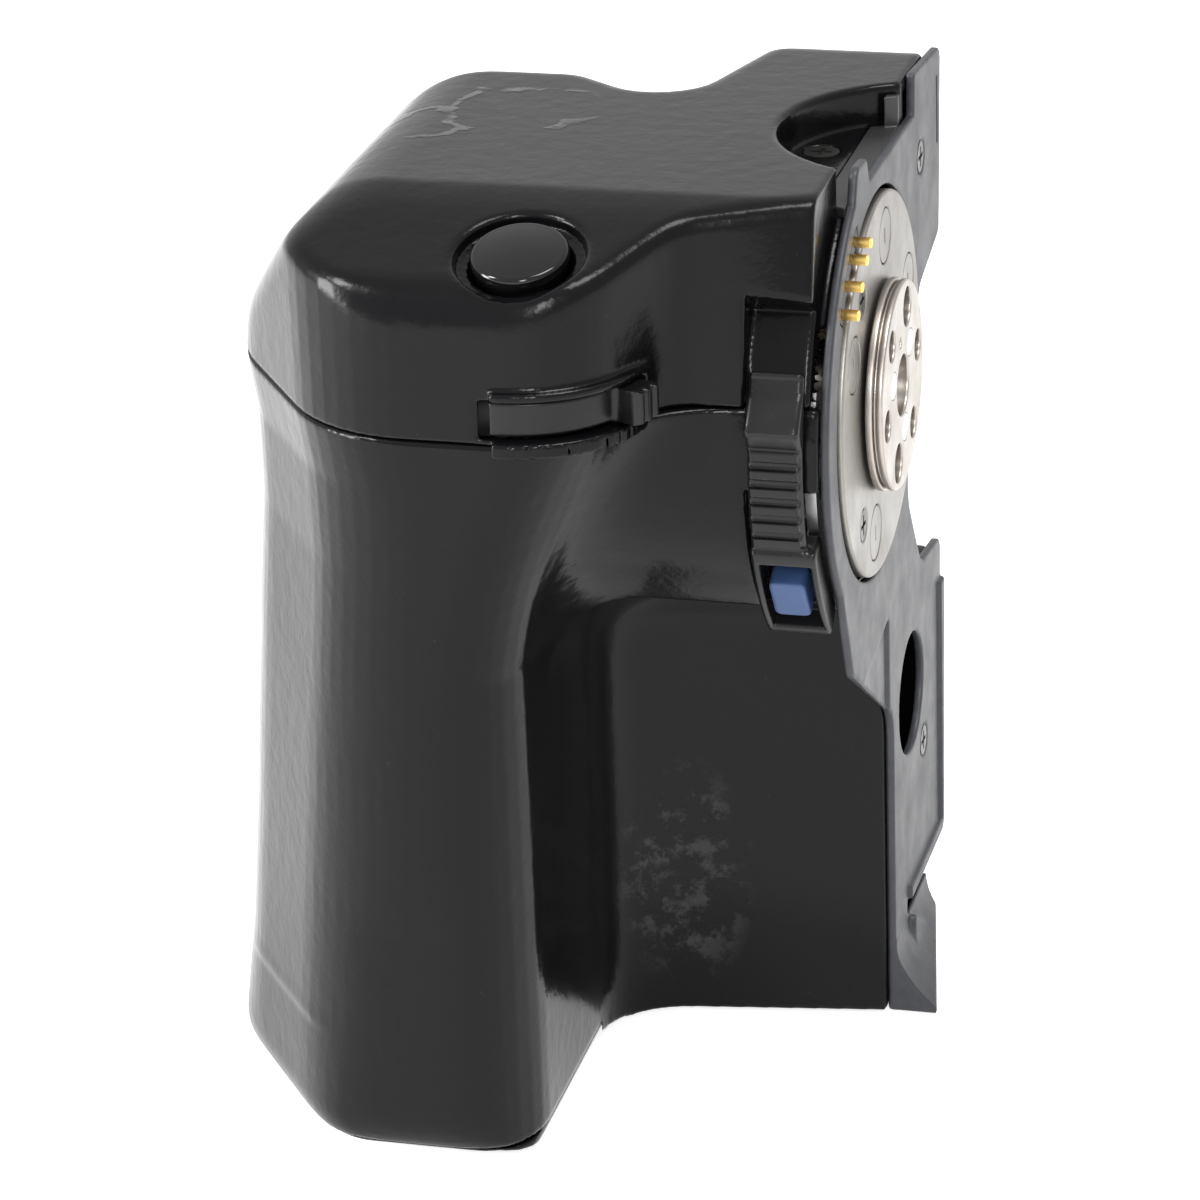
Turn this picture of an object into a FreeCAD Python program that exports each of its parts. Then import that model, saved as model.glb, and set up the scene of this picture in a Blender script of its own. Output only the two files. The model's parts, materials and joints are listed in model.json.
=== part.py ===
import FreeCAD, Part
import math
import os

# Power winder grip that bolts to the side of a medium-format camera.
# Frame: origin on the drive coupling axis, in the plane where the grip meets the camera.
# +X points into the camera, -Y is the front of the camera and +Z is up. Millimetres.

V = FreeCAD.Vector
X, Y, Z = V(1, 0, 0), V(0, 1, 0), V(0, 0, 1)

# Overall heights and the casing
TOP_Z = 28.5
SEAM_Z = 6.5
BOTTOM_Z = -79.5
SEAM_GAP = 0.15
WALL = 1.8
END_X = -1.0                # shells end where the mount plate closes them
FLOOR_T = 1.8
RECESS_FLOOR_T = 1.3

# Plan outline of the hand grip column
GRIP_REAR_Y = 17.6
GRIP_FRONT_Y = -40.2
GRIP_FRONT_R = 13.0
GRIP_CORNER_R = 11.2
SHOULDER_R = 20.0
REAR_R = 9.0
NOSE_LEFT_R = 16.0
NOSE_FRONT_Y = -41.6
GRIP_RIGHT_X = -31.6
SHOULDER_Y = -17.0
SLANT_RUN = 17.6            # how far the slanted front left side runs along X
PANEL_X_Y = (1.0, 5.6)      # front of the finger recess, at the grip and at the plate
BLOCK_REAR_Y = 33.0
BLOCK_LEFT_X = -22.0
WAIST_Z = -22.0             # underside of the gear housing, where the finger recess starts
GRIP_LEFT = ((BOTTOM_Z, -73.0), (BOTTOM_Z + 7.5, -71.8), (BOTTOM_Z + 16.5, -70.5), (-49.0, -69.3),
             (-36.0, -68.3), (-22.0, -67.2), (-10.0, -66.2), (0.0, -66.1), (6.5, -67.0))

# Rounding along the foot of the grip's front and slanted side
FOOT_R = 8.0

# Nose corner, which the mode lever turns inside
NOSE_X, NOSE_Y, NOSE_R = -31.0, -29.0, 12.6
NOSE_CORNER_X = -23.9
NOSE_ROOT_X, NOSE_ROOT_Y = -16.6, -27.2

# Deck, left shoulder and rear of the upper housing
DECK_BACK_Y = -22.0
DECK_SLOPE = 0.3122
SHOULDER_TOP_X = -53.0
SHOULDER_LOW = (-67.5, 9.0)
TOP_REAR_X, TOP_REAR_R = -55.5, 13.0    # rear left corner of the top face
THUMB_X, THUMB_Y = -24.5, 8.3
THUMB_LEFT_X, THUMB_RIGHT_X = -36.8, -17.6

# Gear housing, concentric with the coupling
TRACK_R = 27.0
TRACK_X = (-8.6, 1.0)
TRACK_ANGLES = (-62.0, 36.0)     # degrees above the front, seen along the coupling axis
POCKET_TOP = -5.5

# Mount plate, disc and coupling hub
PLATE_T = 1.0
RIM_R = TRACK_R - 1.0
DISC_R = 21.0
PLATE_HOLE_R = DISC_R + 0.5
DISC_X = (-1.6, 0.44)
HUB_R = 11.57
HUB_X = (0.8, 2.74)
HUB_GROOVE_X = (1.65, 1.95)
HUB_GROOVE_R = 10.9
COUPLING_R = 3.35
COUPLING_DEPTH = 6.0
HUB_PCD_R = 8.48
HUB_BIG_R, HUB_SMALL_R = 2.16, 1.73
HUB_TURN = 90.0             # direction of the first large drive hole, from +Y towards +Z
RIVET_RING_R, RIVET_R = 5.3, 1.5
TINY_R = 0.6
WINDOW_Y, WINDOW_Z, WINDOW_R = 16.9, -44.0, 7.1
STUD_RING_R, STUD_R = 16.2, 3.0
STUD_ANGLES = (24.3, 81.4, 153.0, 254.3)
DISC_SCREW_ANGLES = (127.0, 229.0, 318.0)

# Contacts
PIN_ANGLES = (61.4, 55.4, 47.0, 38.8)
PIN_RING_R = DISC_R + 1.5
PIN_R = 0.58
PIN_OUT = 1.7
PIN_CLEAR = 0.05

# Recess in the top face
RECESS_X, RECESS_Y, RECESS_R = 5.0, 3.6, 16.0
RECESS_FLOOR = DISC_R + 2.5
INSERT_X = -4.1

# Release button
BUTTON_X, BUTTON_Y = -30.0, -33.8
BUTTON_R = 5.1
BUTTON_WELL_R = 6.75
BUTTON_WELL_DEPTH = 1.4
BUTTON_CLEAR = 0.3
BUTTON_DEPTHS = (-0.7, -4.2, -9.7)   # spring top, collar, switch

# Mode lever, which turns about an upright pin in the nose
LEVER_Z = (7.3, 11.3)
BEZEL_Z = (5.3, 12.6)
BEZEL_PROUD = 0.7
BOARD_Z = (-4.4, -3.2)

# Lock lever and its release button
LOCK_R = (TRACK_R + 0.3, TRACK_R + 2.0)
LOCK_X = (-8.2, -2.3)
LOCK_BLOCK_R = TRACK_R - 1.8      # inner face of the lever's lower block
RING_R = (TRACK_R - 4.7, TRACK_R - 2.2)
RING_X = (DISC_X[0] - 1.3, DISC_X[0] - 0.1)
POCKET_R = RING_R[0] - 0.4
LOCK_BUTTON_ANGLE = -34.0
LOCK_BUTTON_X = -4.9
KEY_HALF = (2.0, 2.9)

# Gear train
MODULE = 0.6
HUB_TEETH, WHEEL_TEETH, IDLER_TEETH, PINION_TEETH = 40, 30, 14, 12
GEAR_A_X = (-11.0, -8.8)
GEAR_B_X = (-13.6, -11.4)
IDLER_ANGLE = 45.0          # of the idler, above the front
MOTOR_TURN = -80.7          # direction from the idler to the motor, from the front, upwards
FRONT_FRAME_X = (-8.2, -7.0)
REAR_FRAME_X = (-15.4, -14.2)
MOTOR_R, MOTOR_LENGTH = 9.6, 26.0
MOTOR_BOSS_R = 3.0
SHAFT_R = 3.2
BUSH_R = 6.4
IDLER_PIN_R = 1.5
RUNNING = 0.05

# Control board behind the finger recess
CIRCUIT_X = (-28.0, -3.4)
CIRCUIT_Y = (9.6, 10.8)
CIRCUIT_Z = (BOTTOM_Z + 9.5, BOTTOM_Z + 25.5)

# Battery
CELL_R, CELL_LENGTH = 7.15, 50.3
CELL_X = (-56.65, -42.15)
CELL_Y = (-7.9, 6.6)
TRAY_T = 0.9
COVER_T = 1.9
COVER_TOP_Z = BOTTOM_Z + COVER_T
TRAY_Z = (COVER_TOP_Z + 0.3, COVER_TOP_Z + CELL_LENGTH + 2.7)
BAY = ((-65.2, 15.2, 7.2), (-65.2, -16.6, 7.2), (-33.4, -16.6, 5.0), (-33.4, 15.2, 2.0))   # plan
HINGE_R = 1.3
HINGE_X = (-63.0, -60.3, -38.7, -36.0)     # fixed knuckle, barrel, fixed knuckle
PARTITION_Y = (-18.4, -16.6)
STEP_Y, STEP_Z = 24.5, BOTTOM_Z + 10.6


def unit(dx, dy):
    length = math.hypot(dx, dy)
    return dx / length, dy / length


def inset_corners(corners, inset):
    """Corners (u, v, radius) of a counter-clockwise outline, with each side moved inwards."""
    moved = []
    count = len(corners)
    for i in range(count):
        before, here, after = corners[i - 1], corners[i], corners[(i + 1) % count]
        a = unit(here[0] - before[0], here[1] - before[1])
        b = unit(after[0] - here[0], after[1] - here[1])
        share = inset / (1 + a[0] * b[0] + a[1] * b[1])
        convex = a[0] * b[1] - a[1] * b[0] > 0
        radius = here[2] - inset if convex else here[2] + inset
        if here[2] == 0:
            radius = 0
        moved.append((here[0] - share * (a[1] + b[1]), here[1] + share * (a[0] + b[0]),
                      max(radius, 0.2) if here[2] else 0))
    return moved


def place(u, v, w, plane):
    if plane == "XY":
        return V(u, v, w)
    if plane == "XZ":
        return V(u, w, v)
    return V(w, u, v)


def outline(corners, plane, w, inset=0.0):
    """A closed wire of straight sides and corner arcs."""
    if inset:
        corners = inset_corners(corners, inset)
    count = len(corners)
    spans = []
    for i in range(count):
        before, here, after = corners[i - 1], corners[i], corners[(i + 1) % count]
        a = unit(here[0] - before[0], here[1] - before[1])
        b = unit(after[0] - here[0], after[1] - here[1])
        half = math.acos(max(-1, min(1, a[0] * b[0] + a[1] * b[1]))) / 2
        reach = here[2] * math.tan(half)
        start = (here[0] - a[0] * reach, here[1] - a[1] * reach)
        end = (here[0] + b[0] * reach, here[1] + b[1] * reach)
        if here[2] == 0:
            spans.append((start, None, end))
            continue
        bis = unit(b[0] - a[0], b[1] - a[1])
        depth = here[2] / math.cos(half) - here[2]
        spans.append((start, (here[0] + bis[0] * depth, here[1] + bis[1] * depth), end))
    edges = []
    for i in range(count):
        start, middle, end = spans[i]
        if middle:
            points = [place(p[0], p[1], w, plane) for p in (start, middle, end)]
            edges.append(Part.Arc(*points).toShape())
        nxt = spans[(i + 1) % count][0]
        edges.append(Part.LineSegment(place(end[0], end[1], w, plane),
                                      place(nxt[0], nxt[1], w, plane)).toShape())
    return Part.Wire(edges)


def prism(corners, plane, w0, w1, inset=0.0):
    direction = {"XY": Z, "XZ": Y, "YZ": X}[plane]
    return Part.Face(outline(corners, plane, w0, inset)).extrude(direction * (w1 - w0))


def box(x, y, z):
    return Part.makeBox(x[1] - x[0], y[1] - y[0], z[1] - z[0], V(x[0], y[0], z[0]))


def rod(centre, axis, radius, length):
    return Part.makeCylinder(radius, length, centre, axis)


def along_x(y, z, radius, x):
    return rod(V(x[0], y, z), X, radius, x[1] - x[0])


def tube_x(radii, x, y=0.0, z=0.0):
    return along_x(y, z, radii[1], x).cut(along_x(y, z, radii[0], (x[0] - 1, x[1] + 1)))


def polar(radius, degrees):
    """Y and Z of a point on a circle about the coupling, counted from +Y towards +Z."""
    a = math.radians(degrees)
    return radius * math.cos(a), radius * math.sin(a)


def front(radius, degrees):
    """Y and Z of a point about the coupling, counted upwards from the front."""
    a = math.radians(degrees)
    return -radius * math.cos(a), radius * math.sin(a)


def sector_x(radii, x, angles):
    """A curved bar about the coupling axis between two angles above the front."""
    points = []
    for radius, degrees in ((radii[1], angles[0]), (radii[1], sum(angles) / 2),
                            (radii[1], angles[1]), (radii[0], angles[1]),
                            (radii[0], sum(angles) / 2), (radii[0], angles[0])):
        y, z = front(radius, degrees)
        points.append(V(x[0], y, z))
    edges = [Part.Arc(*points[:3]).toShape(),
             Part.LineSegment(points[2], points[3]).toShape(),
             Part.Arc(*points[3:]).toShape(),
             Part.LineSegment(points[5], points[0]).toShape()]
    return Part.Face(Part.Wire(edges)).extrude(X * (x[1] - x[0]))


def sector_z(radii, z, angles, centre):
    """A curved bar about an upright axis, with angles counted from +X towards +Y."""
    points = []
    for radius, degrees in ((radii[1], angles[0]), (radii[1], sum(angles) / 2),
                            (radii[1], angles[1]), (radii[0], angles[1]),
                            (radii[0], sum(angles) / 2), (radii[0], angles[0])):
        a = math.radians(degrees)
        points.append(V(centre[0] + radius * math.cos(a), centre[1] + radius * math.sin(a), z[0]))
    edges = [Part.Arc(*points[:3]).toShape(),
             Part.LineSegment(points[2], points[3]).toShape(),
             Part.Arc(*points[3:]).toShape(),
             Part.LineSegment(points[5], points[0]).toShape()]
    return Part.Face(Part.Wire(edges)).extrude(Z * (z[1] - z[0]))


def fuse(shapes):
    whole = shapes[0]
    for shape in shapes[1:]:
        whole = whole.fuse(shape)
    return whole.removeSplitter()


def cut(shape, tools):
    for tool in tools:
        shape = shape.cut(tool)
    return shape


# Casing forms

def grip_left(z):
    """X of the grip's left side at a height."""
    for (z0, x0), (z1, x1) in zip(GRIP_LEFT, GRIP_LEFT[1:]):
        if z <= z1:
            return x0 + (x1 - x0) * (z - z0) / (z1 - z0)
    return GRIP_LEFT[-1][1]


def grip_corners(z, end_x=END_X):
    """Plan outline of the grip and the finger recess panel, below the gear housing."""
    left = grip_left(z)
    return [(left, GRIP_REAR_Y, REAR_R), (left, SHOULDER_Y, SHOULDER_R),
            (left + SLANT_RUN, GRIP_FRONT_Y, GRIP_FRONT_R),
            (GRIP_RIGHT_X, GRIP_FRONT_Y, GRIP_CORNER_R),
            (GRIP_RIGHT_X, PANEL_X_Y[0], 8.0), (end_x, PANEL_X_Y[1], 0.4),
            (end_x, BLOCK_REAR_Y, 0.6), (BLOCK_LEFT_X, BLOCK_REAR_Y, 6.0),
            (BLOCK_LEFT_X - 5.0, GRIP_REAR_Y, 4.0)]


def flare_corners(z):
    """Plan outline of the grip where its right side widens up to the nose."""
    left = grip_left(z)
    rise = max(0.0, (z - WAIST_Z) / (SEAM_Z - WAIST_Z))
    ease = rise ** 1.6
    front_y = GRIP_FRONT_Y + (NOSE_FRONT_Y - GRIP_FRONT_Y) * ease
    corner = GRIP_RIGHT_X + (NOSE_CORNER_X - GRIP_RIGHT_X) * ease
    root = GRIP_RIGHT_X + 0.4 + (NOSE_ROOT_X - GRIP_RIGHT_X) * ease
    nose_r = GRIP_CORNER_R + (NOSE_R - GRIP_CORNER_R) * ease
    left_r = GRIP_FRONT_R + (NOSE_LEFT_R - GRIP_FRONT_R) * ease
    return [(left, GRIP_REAR_Y, REAR_R), (left, SHOULDER_Y, SHOULDER_R),
            (left + SLANT_RUN, front_y, left_r), (corner, front_y, nose_r),
            (root, NOSE_ROOT_Y + 3.0, 6.0), (root, GRIP_REAR_Y, 0.4)]


def upper_corners(top, end_x=END_X):
    """Plan outline of the upper housing at the seam or at the top."""
    left = GRIP_LEFT[-1][1]
    root_x = NOSE_ROOT_X + (2.0 if top else 0.0)
    plate_y = -21.4 if top else -26.2
    rear = (TOP_REAR_X, GRIP_REAR_Y, TOP_REAR_R) if top else (left, GRIP_REAR_Y, REAR_R)
    return [rear, (left, SHOULDER_Y, SHOULDER_R),
            (left + SLANT_RUN, NOSE_FRONT_Y, NOSE_LEFT_R), (NOSE_CORNER_X, NOSE_FRONT_Y, NOSE_R),
            (root_x, NOSE_ROOT_Y, 6.0), (end_x, plate_y, 0.6),
            (end_x, BLOCK_REAR_Y, 0.6), (THUMB_RIGHT_X, BLOCK_REAR_Y, 5.0),
            (THUMB_X, THUMB_Y, 5.0), (THUMB_LEFT_X, GRIP_REAR_Y, 6.0)]


def side_profile():
    """Seen along X: the deck, the top and the rounded front of the bottom."""
    nose = NOSE_FRONT_Y - 0.7
    nose_z = TOP_Z + (nose - DECK_BACK_Y) * DECK_SLOPE
    return [(nose, WAIST_Z - 20.0, 0), (GRIP_FRONT_Y - 0.05, WAIST_Z - 30.0, 0),
            (GRIP_FRONT_Y - 0.05, BOTTOM_Z, FOOT_R),
            (BLOCK_REAR_Y + 0.3, BOTTOM_Z, 1.5), (BLOCK_REAR_Y + 0.3, TOP_Z, 4.5),
            (DECK_BACK_Y, TOP_Z, 4.0), (nose, nose_z, 4.2)]


def front_profile(right=10.0):
    """Seen along Y: the left shoulder and the rounded left of the bottom."""
    return [(GRIP_LEFT[0][1] - 0.4, BOTTOM_Z, 4.0), (right, BOTTOM_Z, 0), (right, TOP_Z, 0),
            (SHOULDER_TOP_X, TOP_Z, 12.0), (SHOULDER_LOW[0], SHOULDER_LOW[1], 12.0),
            (SHOULDER_LOW[0] - 0.2, -5.0, 0), (GRIP_LEFT[0][1] - 0.4, -60.0, 0)]


def slant_profile():
    """Seen along the slanted front left side: its rounded foot."""
    left = grip_left(BOTTOM_Z + FOOT_R)
    angle = math.atan2(SLANT_RUN, SHOULDER_Y - GRIP_FRONT_Y)
    reach = left * math.cos(angle) + SHOULDER_Y * math.sin(angle) - 0.05
    return math.degrees(angle), [(reach, BOTTOM_Z, FOOT_R), (90.0, BOTTOM_Z, 0), (90.0, 50.0, 0),
                                 (reach - 4.0, 50.0, 0), (reach - 4.0, WAIST_Z, 0),
                                 (reach, BOTTOM_Z + 2 * FOOT_R, 0)]


def trimmed(solid, inset=0.0):
    """Gives a casing form its rounded top and bottom."""
    side = prism(side_profile(), "YZ", -90.0, 12.0, inset)
    face = prism(front_profile(), "XZ", -60.0, 50.0, inset)
    angle, corners = slant_profile()
    slant = prism(corners, "XZ", -90.0, 90.0, inset)
    slant.rotate(V(0, 0, 0), Z, angle)
    return solid.common(side).common(face).common(slant)


def bulge_corners():
    """Seen along X: the gear housing below the seam."""
    front_y = -(TRACK_R + 3.0)
    return [(front_y, SEAM_Z, 0), (front_y, -17.0, 1.0), (-19.0, -18.6, 3.5),
            (PANEL_X_Y[1] + 2.0, WAIST_Z - 3.0, 0), (GRIP_REAR_Y, WAIST_Z - 3.0, 0),
            (GRIP_REAR_Y, SEAM_Z, 0)]


def bulge(inset=0.0, x=(-31.4, END_X)):
    """The gear housing's lower half, round about the coupling at its front."""
    block = prism(bulge_corners(), "YZ", x[0], x[1], inset)
    lift = box((x[0], x[1]), (-TRACK_R - 3.0, GRIP_REAR_Y - inset), (SEAM_Z - 2 * inset - 0.1, SEAM_Z))
    drum = along_x(0, 0, TRACK_R - inset, x)
    rear = box((x[0], x[1]), (0, 40), (-40, 40))
    return fuse([block, lift]).common(fuse([drum, rear]))


def loft(wires):
    return Part.makeLoft(wires, True, True)


def rear_notch(inset=0.0):
    """Side view of the space left open behind the gear housing."""
    corners = [(60.0, -31.8, 0), (60.0, 3.6, 0), (33.5, 5.2, 0), (24.3, 3.0, 3.0),
               (GRIP_REAR_Y, -6.0, 8.0), (GRIP_REAR_Y, -22.0, 6.0), (23.8, -31.8, 5.0)]
    return prism(corners[::-1], "YZ", -60.0, 12.0, -inset)


def rear_lip(inset=0.0, end_x=END_X):
    """Underside of the rear block, below the seam."""
    lip = box((THUMB_RIGHT_X + inset, end_x), (10.0, BLOCK_REAR_Y - inset), (-12.0, SEAM_Z))
    return lip


def rear_step(inset=0.0):
    """Side view of the corner left open below the mount plate's rear edge."""
    corners = [(60.0, BOTTOM_Z - 5, 0), (60.0, STEP_Z, 0), (STEP_Y, STEP_Z, 1.5),
               (STEP_Y, BOTTOM_Z - 5, 0)]
    return prism(corners, "YZ", -60.0, 12.0, -inset)


def lower_form():
    """Outer form of the grip shell, closed."""
    heights = [z for z, _ in GRIP_LEFT if z <= WAIST_Z]
    grip = loft([outline(grip_corners(z), "XY", z) for z in heights])
    rises = [WAIST_Z, -15.0, -8.0, -1.0, SEAM_Z]
    flare = loft([outline(flare_corners(z), "XY", z) for z in rises])
    body = fuse([grip, flare, bulge(), rear_lip()])
    return trimmed(cut(body, [rear_notch(), rear_step()]))


def lower_cavity():
    """Space inside the grip shell, open at the seam, the plate and the battery cover."""
    heights = [BOTTOM_Z - 1] + [z for z, _ in GRIP_LEFT[1:] if z <= WAIST_Z]
    grip = loft([outline(grip_corners(z, 5.0), "XY", z, WALL) for z in heights])
    grip = cut(grip, [rear_step(WALL), box((-40.0, 10.0), (GRIP_REAR_Y - WALL, 40.0), (-34.0, 0.0)),
                      box((GRIP_RIGHT_X + 0.2, 10.0), (-40.0, 40.0), (-90.0, BOTTOM_Z + FLOOR_T))])
    rises = (WAIST_Z, -15.0, -8.0, -1.0, SEAM_Z + 1.0)
    flare = loft([outline(flare_corners(z), "XY", z, WALL) for z in rises])
    drum = bulge(WALL, (-33.0, 4.0))
    bay = prism(BAY, "XY", BOTTOM_Z - 5.0, TRAY_Z[1] + 4.4)
    rib = box((-33.2, -32.0), (-14.0, 16.0), (COVER_TOP_Z + 0.25, WAIST_Z))
    partition = box((-80.0, GRIP_RIGHT_X), PARTITION_Y, (COVER_TOP_Z + 0.25, WAIST_Z))
    nose = trimmed(box((-90, 10), (-60, PARTITION_Y[0]), (BOTTOM_Z - 5, WAIST_Z)), WALL)
    low = fuse([grip.common(box((-90, 10), (PARTITION_Y[0], 50), (-90, 0))), grip.common(nose)])
    return fuse([low, flare, drum]).cut(rib).cut(partition).fuse(bay)


def thumb_channel():
    """Tapered foot of the thumb channel in the rear of the grip shell."""
    back = GRIP_REAR_Y + 1.2
    upper = [(THUMB_LEFT_X - 1.4, back, 0.3), (THUMB_X, THUMB_Y, 4.0), (THUMB_RIGHT_X, back, 0.3)]
    lower = [(-34.0, back, 0.3), (-27.0, GRIP_REAR_Y - 1.0, 1.0), (-24.0, back, 0.3)]
    return loft([outline(upper, "XY", SEAM_Z + 0.1), outline(lower, "XY", -14.0)])


def thumb_lining():
    """Wall left behind the thumb channel."""
    back = GRIP_REAR_Y + 1.2
    upper = [(THUMB_LEFT_X - 4.0, back, 0.3), (THUMB_X, THUMB_Y - 2.6, 5.8),
             (THUMB_RIGHT_X + 2.0, back, 0.3)]
    lower = [(-37.0, back, 0.3), (-27.0, GRIP_REAR_Y - 3.4, 2.4), (-22.0, back, 0.3)]
    body = loft([outline(upper, "XY", SEAM_Z), outline(lower, "XY", -16.5)])
    return body.common(box((-60, 0), (-10, GRIP_REAR_Y - 0.2), (-30, SEAM_Z)))


def upper_form(inset=0.0, end_x=END_X, low=SEAM_Z + SEAM_GAP):
    wires = [outline(upper_corners(False, end_x), "XY", low, inset),
             outline(upper_corners(True, end_x), "XY", TOP_Z, inset)]
    return trimmed(loft(wires), inset)


def track_cut(top, bottom):
    """Curved recess that the lock lever slides in."""
    recess = sector_x((TRACK_R, 44.0), TRACK_X, (TRACK_ANGLES[0], TRACK_ANGLES[1]))
    return recess.common(box((-20, 10), (-60, 0), (bottom, top)))


def boss(x, y, z, radius=2.6):
    return rod(V(x, y, z[0]), Z, radius, z[1] - z[0])


SHELL_BOSSES = ((-59.5, 9.0), (-56.3, -19.5))
SCREW_R = 1.0


def disc_seat():
    """Room for the disc's edge behind the mount plate."""
    return along_x(0, 0, DISC_R + 0.3, (DISC_X[0] - 0.3, 2.0))


def shell_ribs():
    """Screw posts of the grip shell with the ribs that tie them to its wall."""
    z = (SEAM_Z - 9.0, SEAM_Z)
    posts = [boss(x, y, z) for x, y in SHELL_BOSSES]
    ribs = [box((x - 12.0, x), (y - 0.8, y + 0.8), z) for x, y in SHELL_BOSSES]
    return fuse(posts + ribs).common(lower_form())


def plate_post(i, left):
    y, z = PLATE_SCREWS[i]
    post = along_x(y, z, 2.4, (left, END_X))
    return post, along_x(y, z, 0.95, (END_X - 6.0, 2.0))


def knuckles(radius, clear=0.0):
    """Fixed ends of the cover hinge, carried by the rear wall."""
    y, z = hinge_centre()
    parts = []
    for x in (HINGE_X[:2], HINGE_X[2:]):
        span = (x[0] - clear, x[1] + clear)
        parts.append(along_x(y, z, radius, span))
        parts.append(box(span, (y - radius, y + radius), (z, z + 2.5)))
    return fuse(parts)


def grip_shell():
    """Lower half of the casing: hand grip, finger recess and gear housing."""
    shell = lower_form().cut(box((-90, 10), (-60, 50), (BOTTOM_Z - 1, COVER_TOP_Z + 0.25))
                             .common(cover_zone()))
    shell = shell.cut(lower_cavity())
    shell = shell.fuse(thumb_lining().common(lower_form()))
    pocket = sector_x((POCKET_R, 40.0), TRACK_X, (-64.0, POCKET_TOP))
    shell = cut(shell, [thumb_channel(), track_cut(SEAM_Z + 1, -60.0), pocket, hinge_space(),
                        disc_seat()])
    post, post_bore = plate_post(1, BLOCK_LEFT_X - 2.4)
    shell = fuse([shell, shell_ribs(), post, knuckles(HINGE_R)])
    holes = [boss(x, y2, (SEAM_Z - 12.0, SEAM_Z + 1), SCREW_R + 0.05) for x, y2 in SHELL_BOSSES]
    return cut(shell, holes + [post_bore, cover_hinge_pin()])


def cover_zone():
    """Plan area of the battery cover, under the hand grip."""
    return box((-90.0, GRIP_RIGHT_X - 0.25), (-60.0, 50.0), (BOTTOM_Z - 5, BOTTOM_Z + 10))


def hinge_space():
    y, z = hinge_centre()
    return along_x(y, z, HINGE_R + 0.3, HINGE_X[1:3])


def hinge_centre():
    return GRIP_REAR_Y - HINGE_R - 0.2, COVER_TOP_Z + 0.1


def battery_cover():
    """Drops open about a pin along its rear edge."""
    slab = lower_form().common(box((-90, 10), (-60, 50), (BOTTOM_Z - 1, COVER_TOP_Z)))
    y, z = hinge_centre()
    slab = slab.common(box((-90.0, GRIP_RIGHT_X - 0.5), (-60.0, y - 0.3), (BOTTOM_Z - 5, 0)))
    barrel = along_x(y, z, HINGE_R, (HINGE_X[1] + 0.3, HINGE_X[2] - 0.3))
    web = box((HINGE_X[1] + 0.3, HINGE_X[2] - 0.3), (y - 2.0, y), (BOTTOM_Z + 0.3, COVER_TOP_Z))
    hooks = [box((x, x + 5.0), (-32.6, -31.6), (COVER_TOP_Z - 0.1, COVER_TOP_Z + 3.0))
             for x in (-47.5, -40.5)]
    cover = fuse([slab, barrel, web] + hooks)
    grooves = [box((-52.0, -38.0), (-30.0 + 2.4 * i, -29.2 + 2.4 * i),
                   (BOTTOM_Z - 1, BOTTOM_Z + 0.5)) for i in range(4)]
    return cut(cover, grooves + [knuckles(HINGE_R + 0.3, 0.3), rod(V(-70.0, y, z), X, 0.55, 40.0)])


def cover_hinge_pin():
    y, z = hinge_centre()
    return rod(V(HINGE_X[0] + 0.5, y, z), X, 0.5, HINGE_X[3] - HINGE_X[0] - 1.0)


def end_wall():
    """Closes the upper housing above the mount plate's rim."""
    wall = upper_form().common(box((-3.6, END_X), (-40.0, -2.6), (SEAM_Z, 40.0)))
    path = sector_x((20.0, RING_R[1] + 0.3), (-10, 5), (-20.0, 33.5))
    recess = rod(V(RECESS_X, RECESS_Y, 0), Z, RECESS_R + 0.05, 40.0)
    return cut(wall, [along_x(0, 0, 24.0, (-10, 5)), path, recess])


def lever_groove():
    """Slot in the nose and the groove behind it, for the mode lever."""
    centre = (NOSE_X, NOSE_Y)
    z = (LEVER_Z[0] - 0.15, LEVER_Z[1] + 0.15)
    slot = sector_z((NOSE_R - 5.0, NOSE_R + 6.0), z, (-92.0, -8.0), centre)
    groove = sector_z((NOSE_R - 3.6, NOSE_R - 0.35), z, (-138.0, 31.0), centre)
    return slot.fuse(groove)


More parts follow.
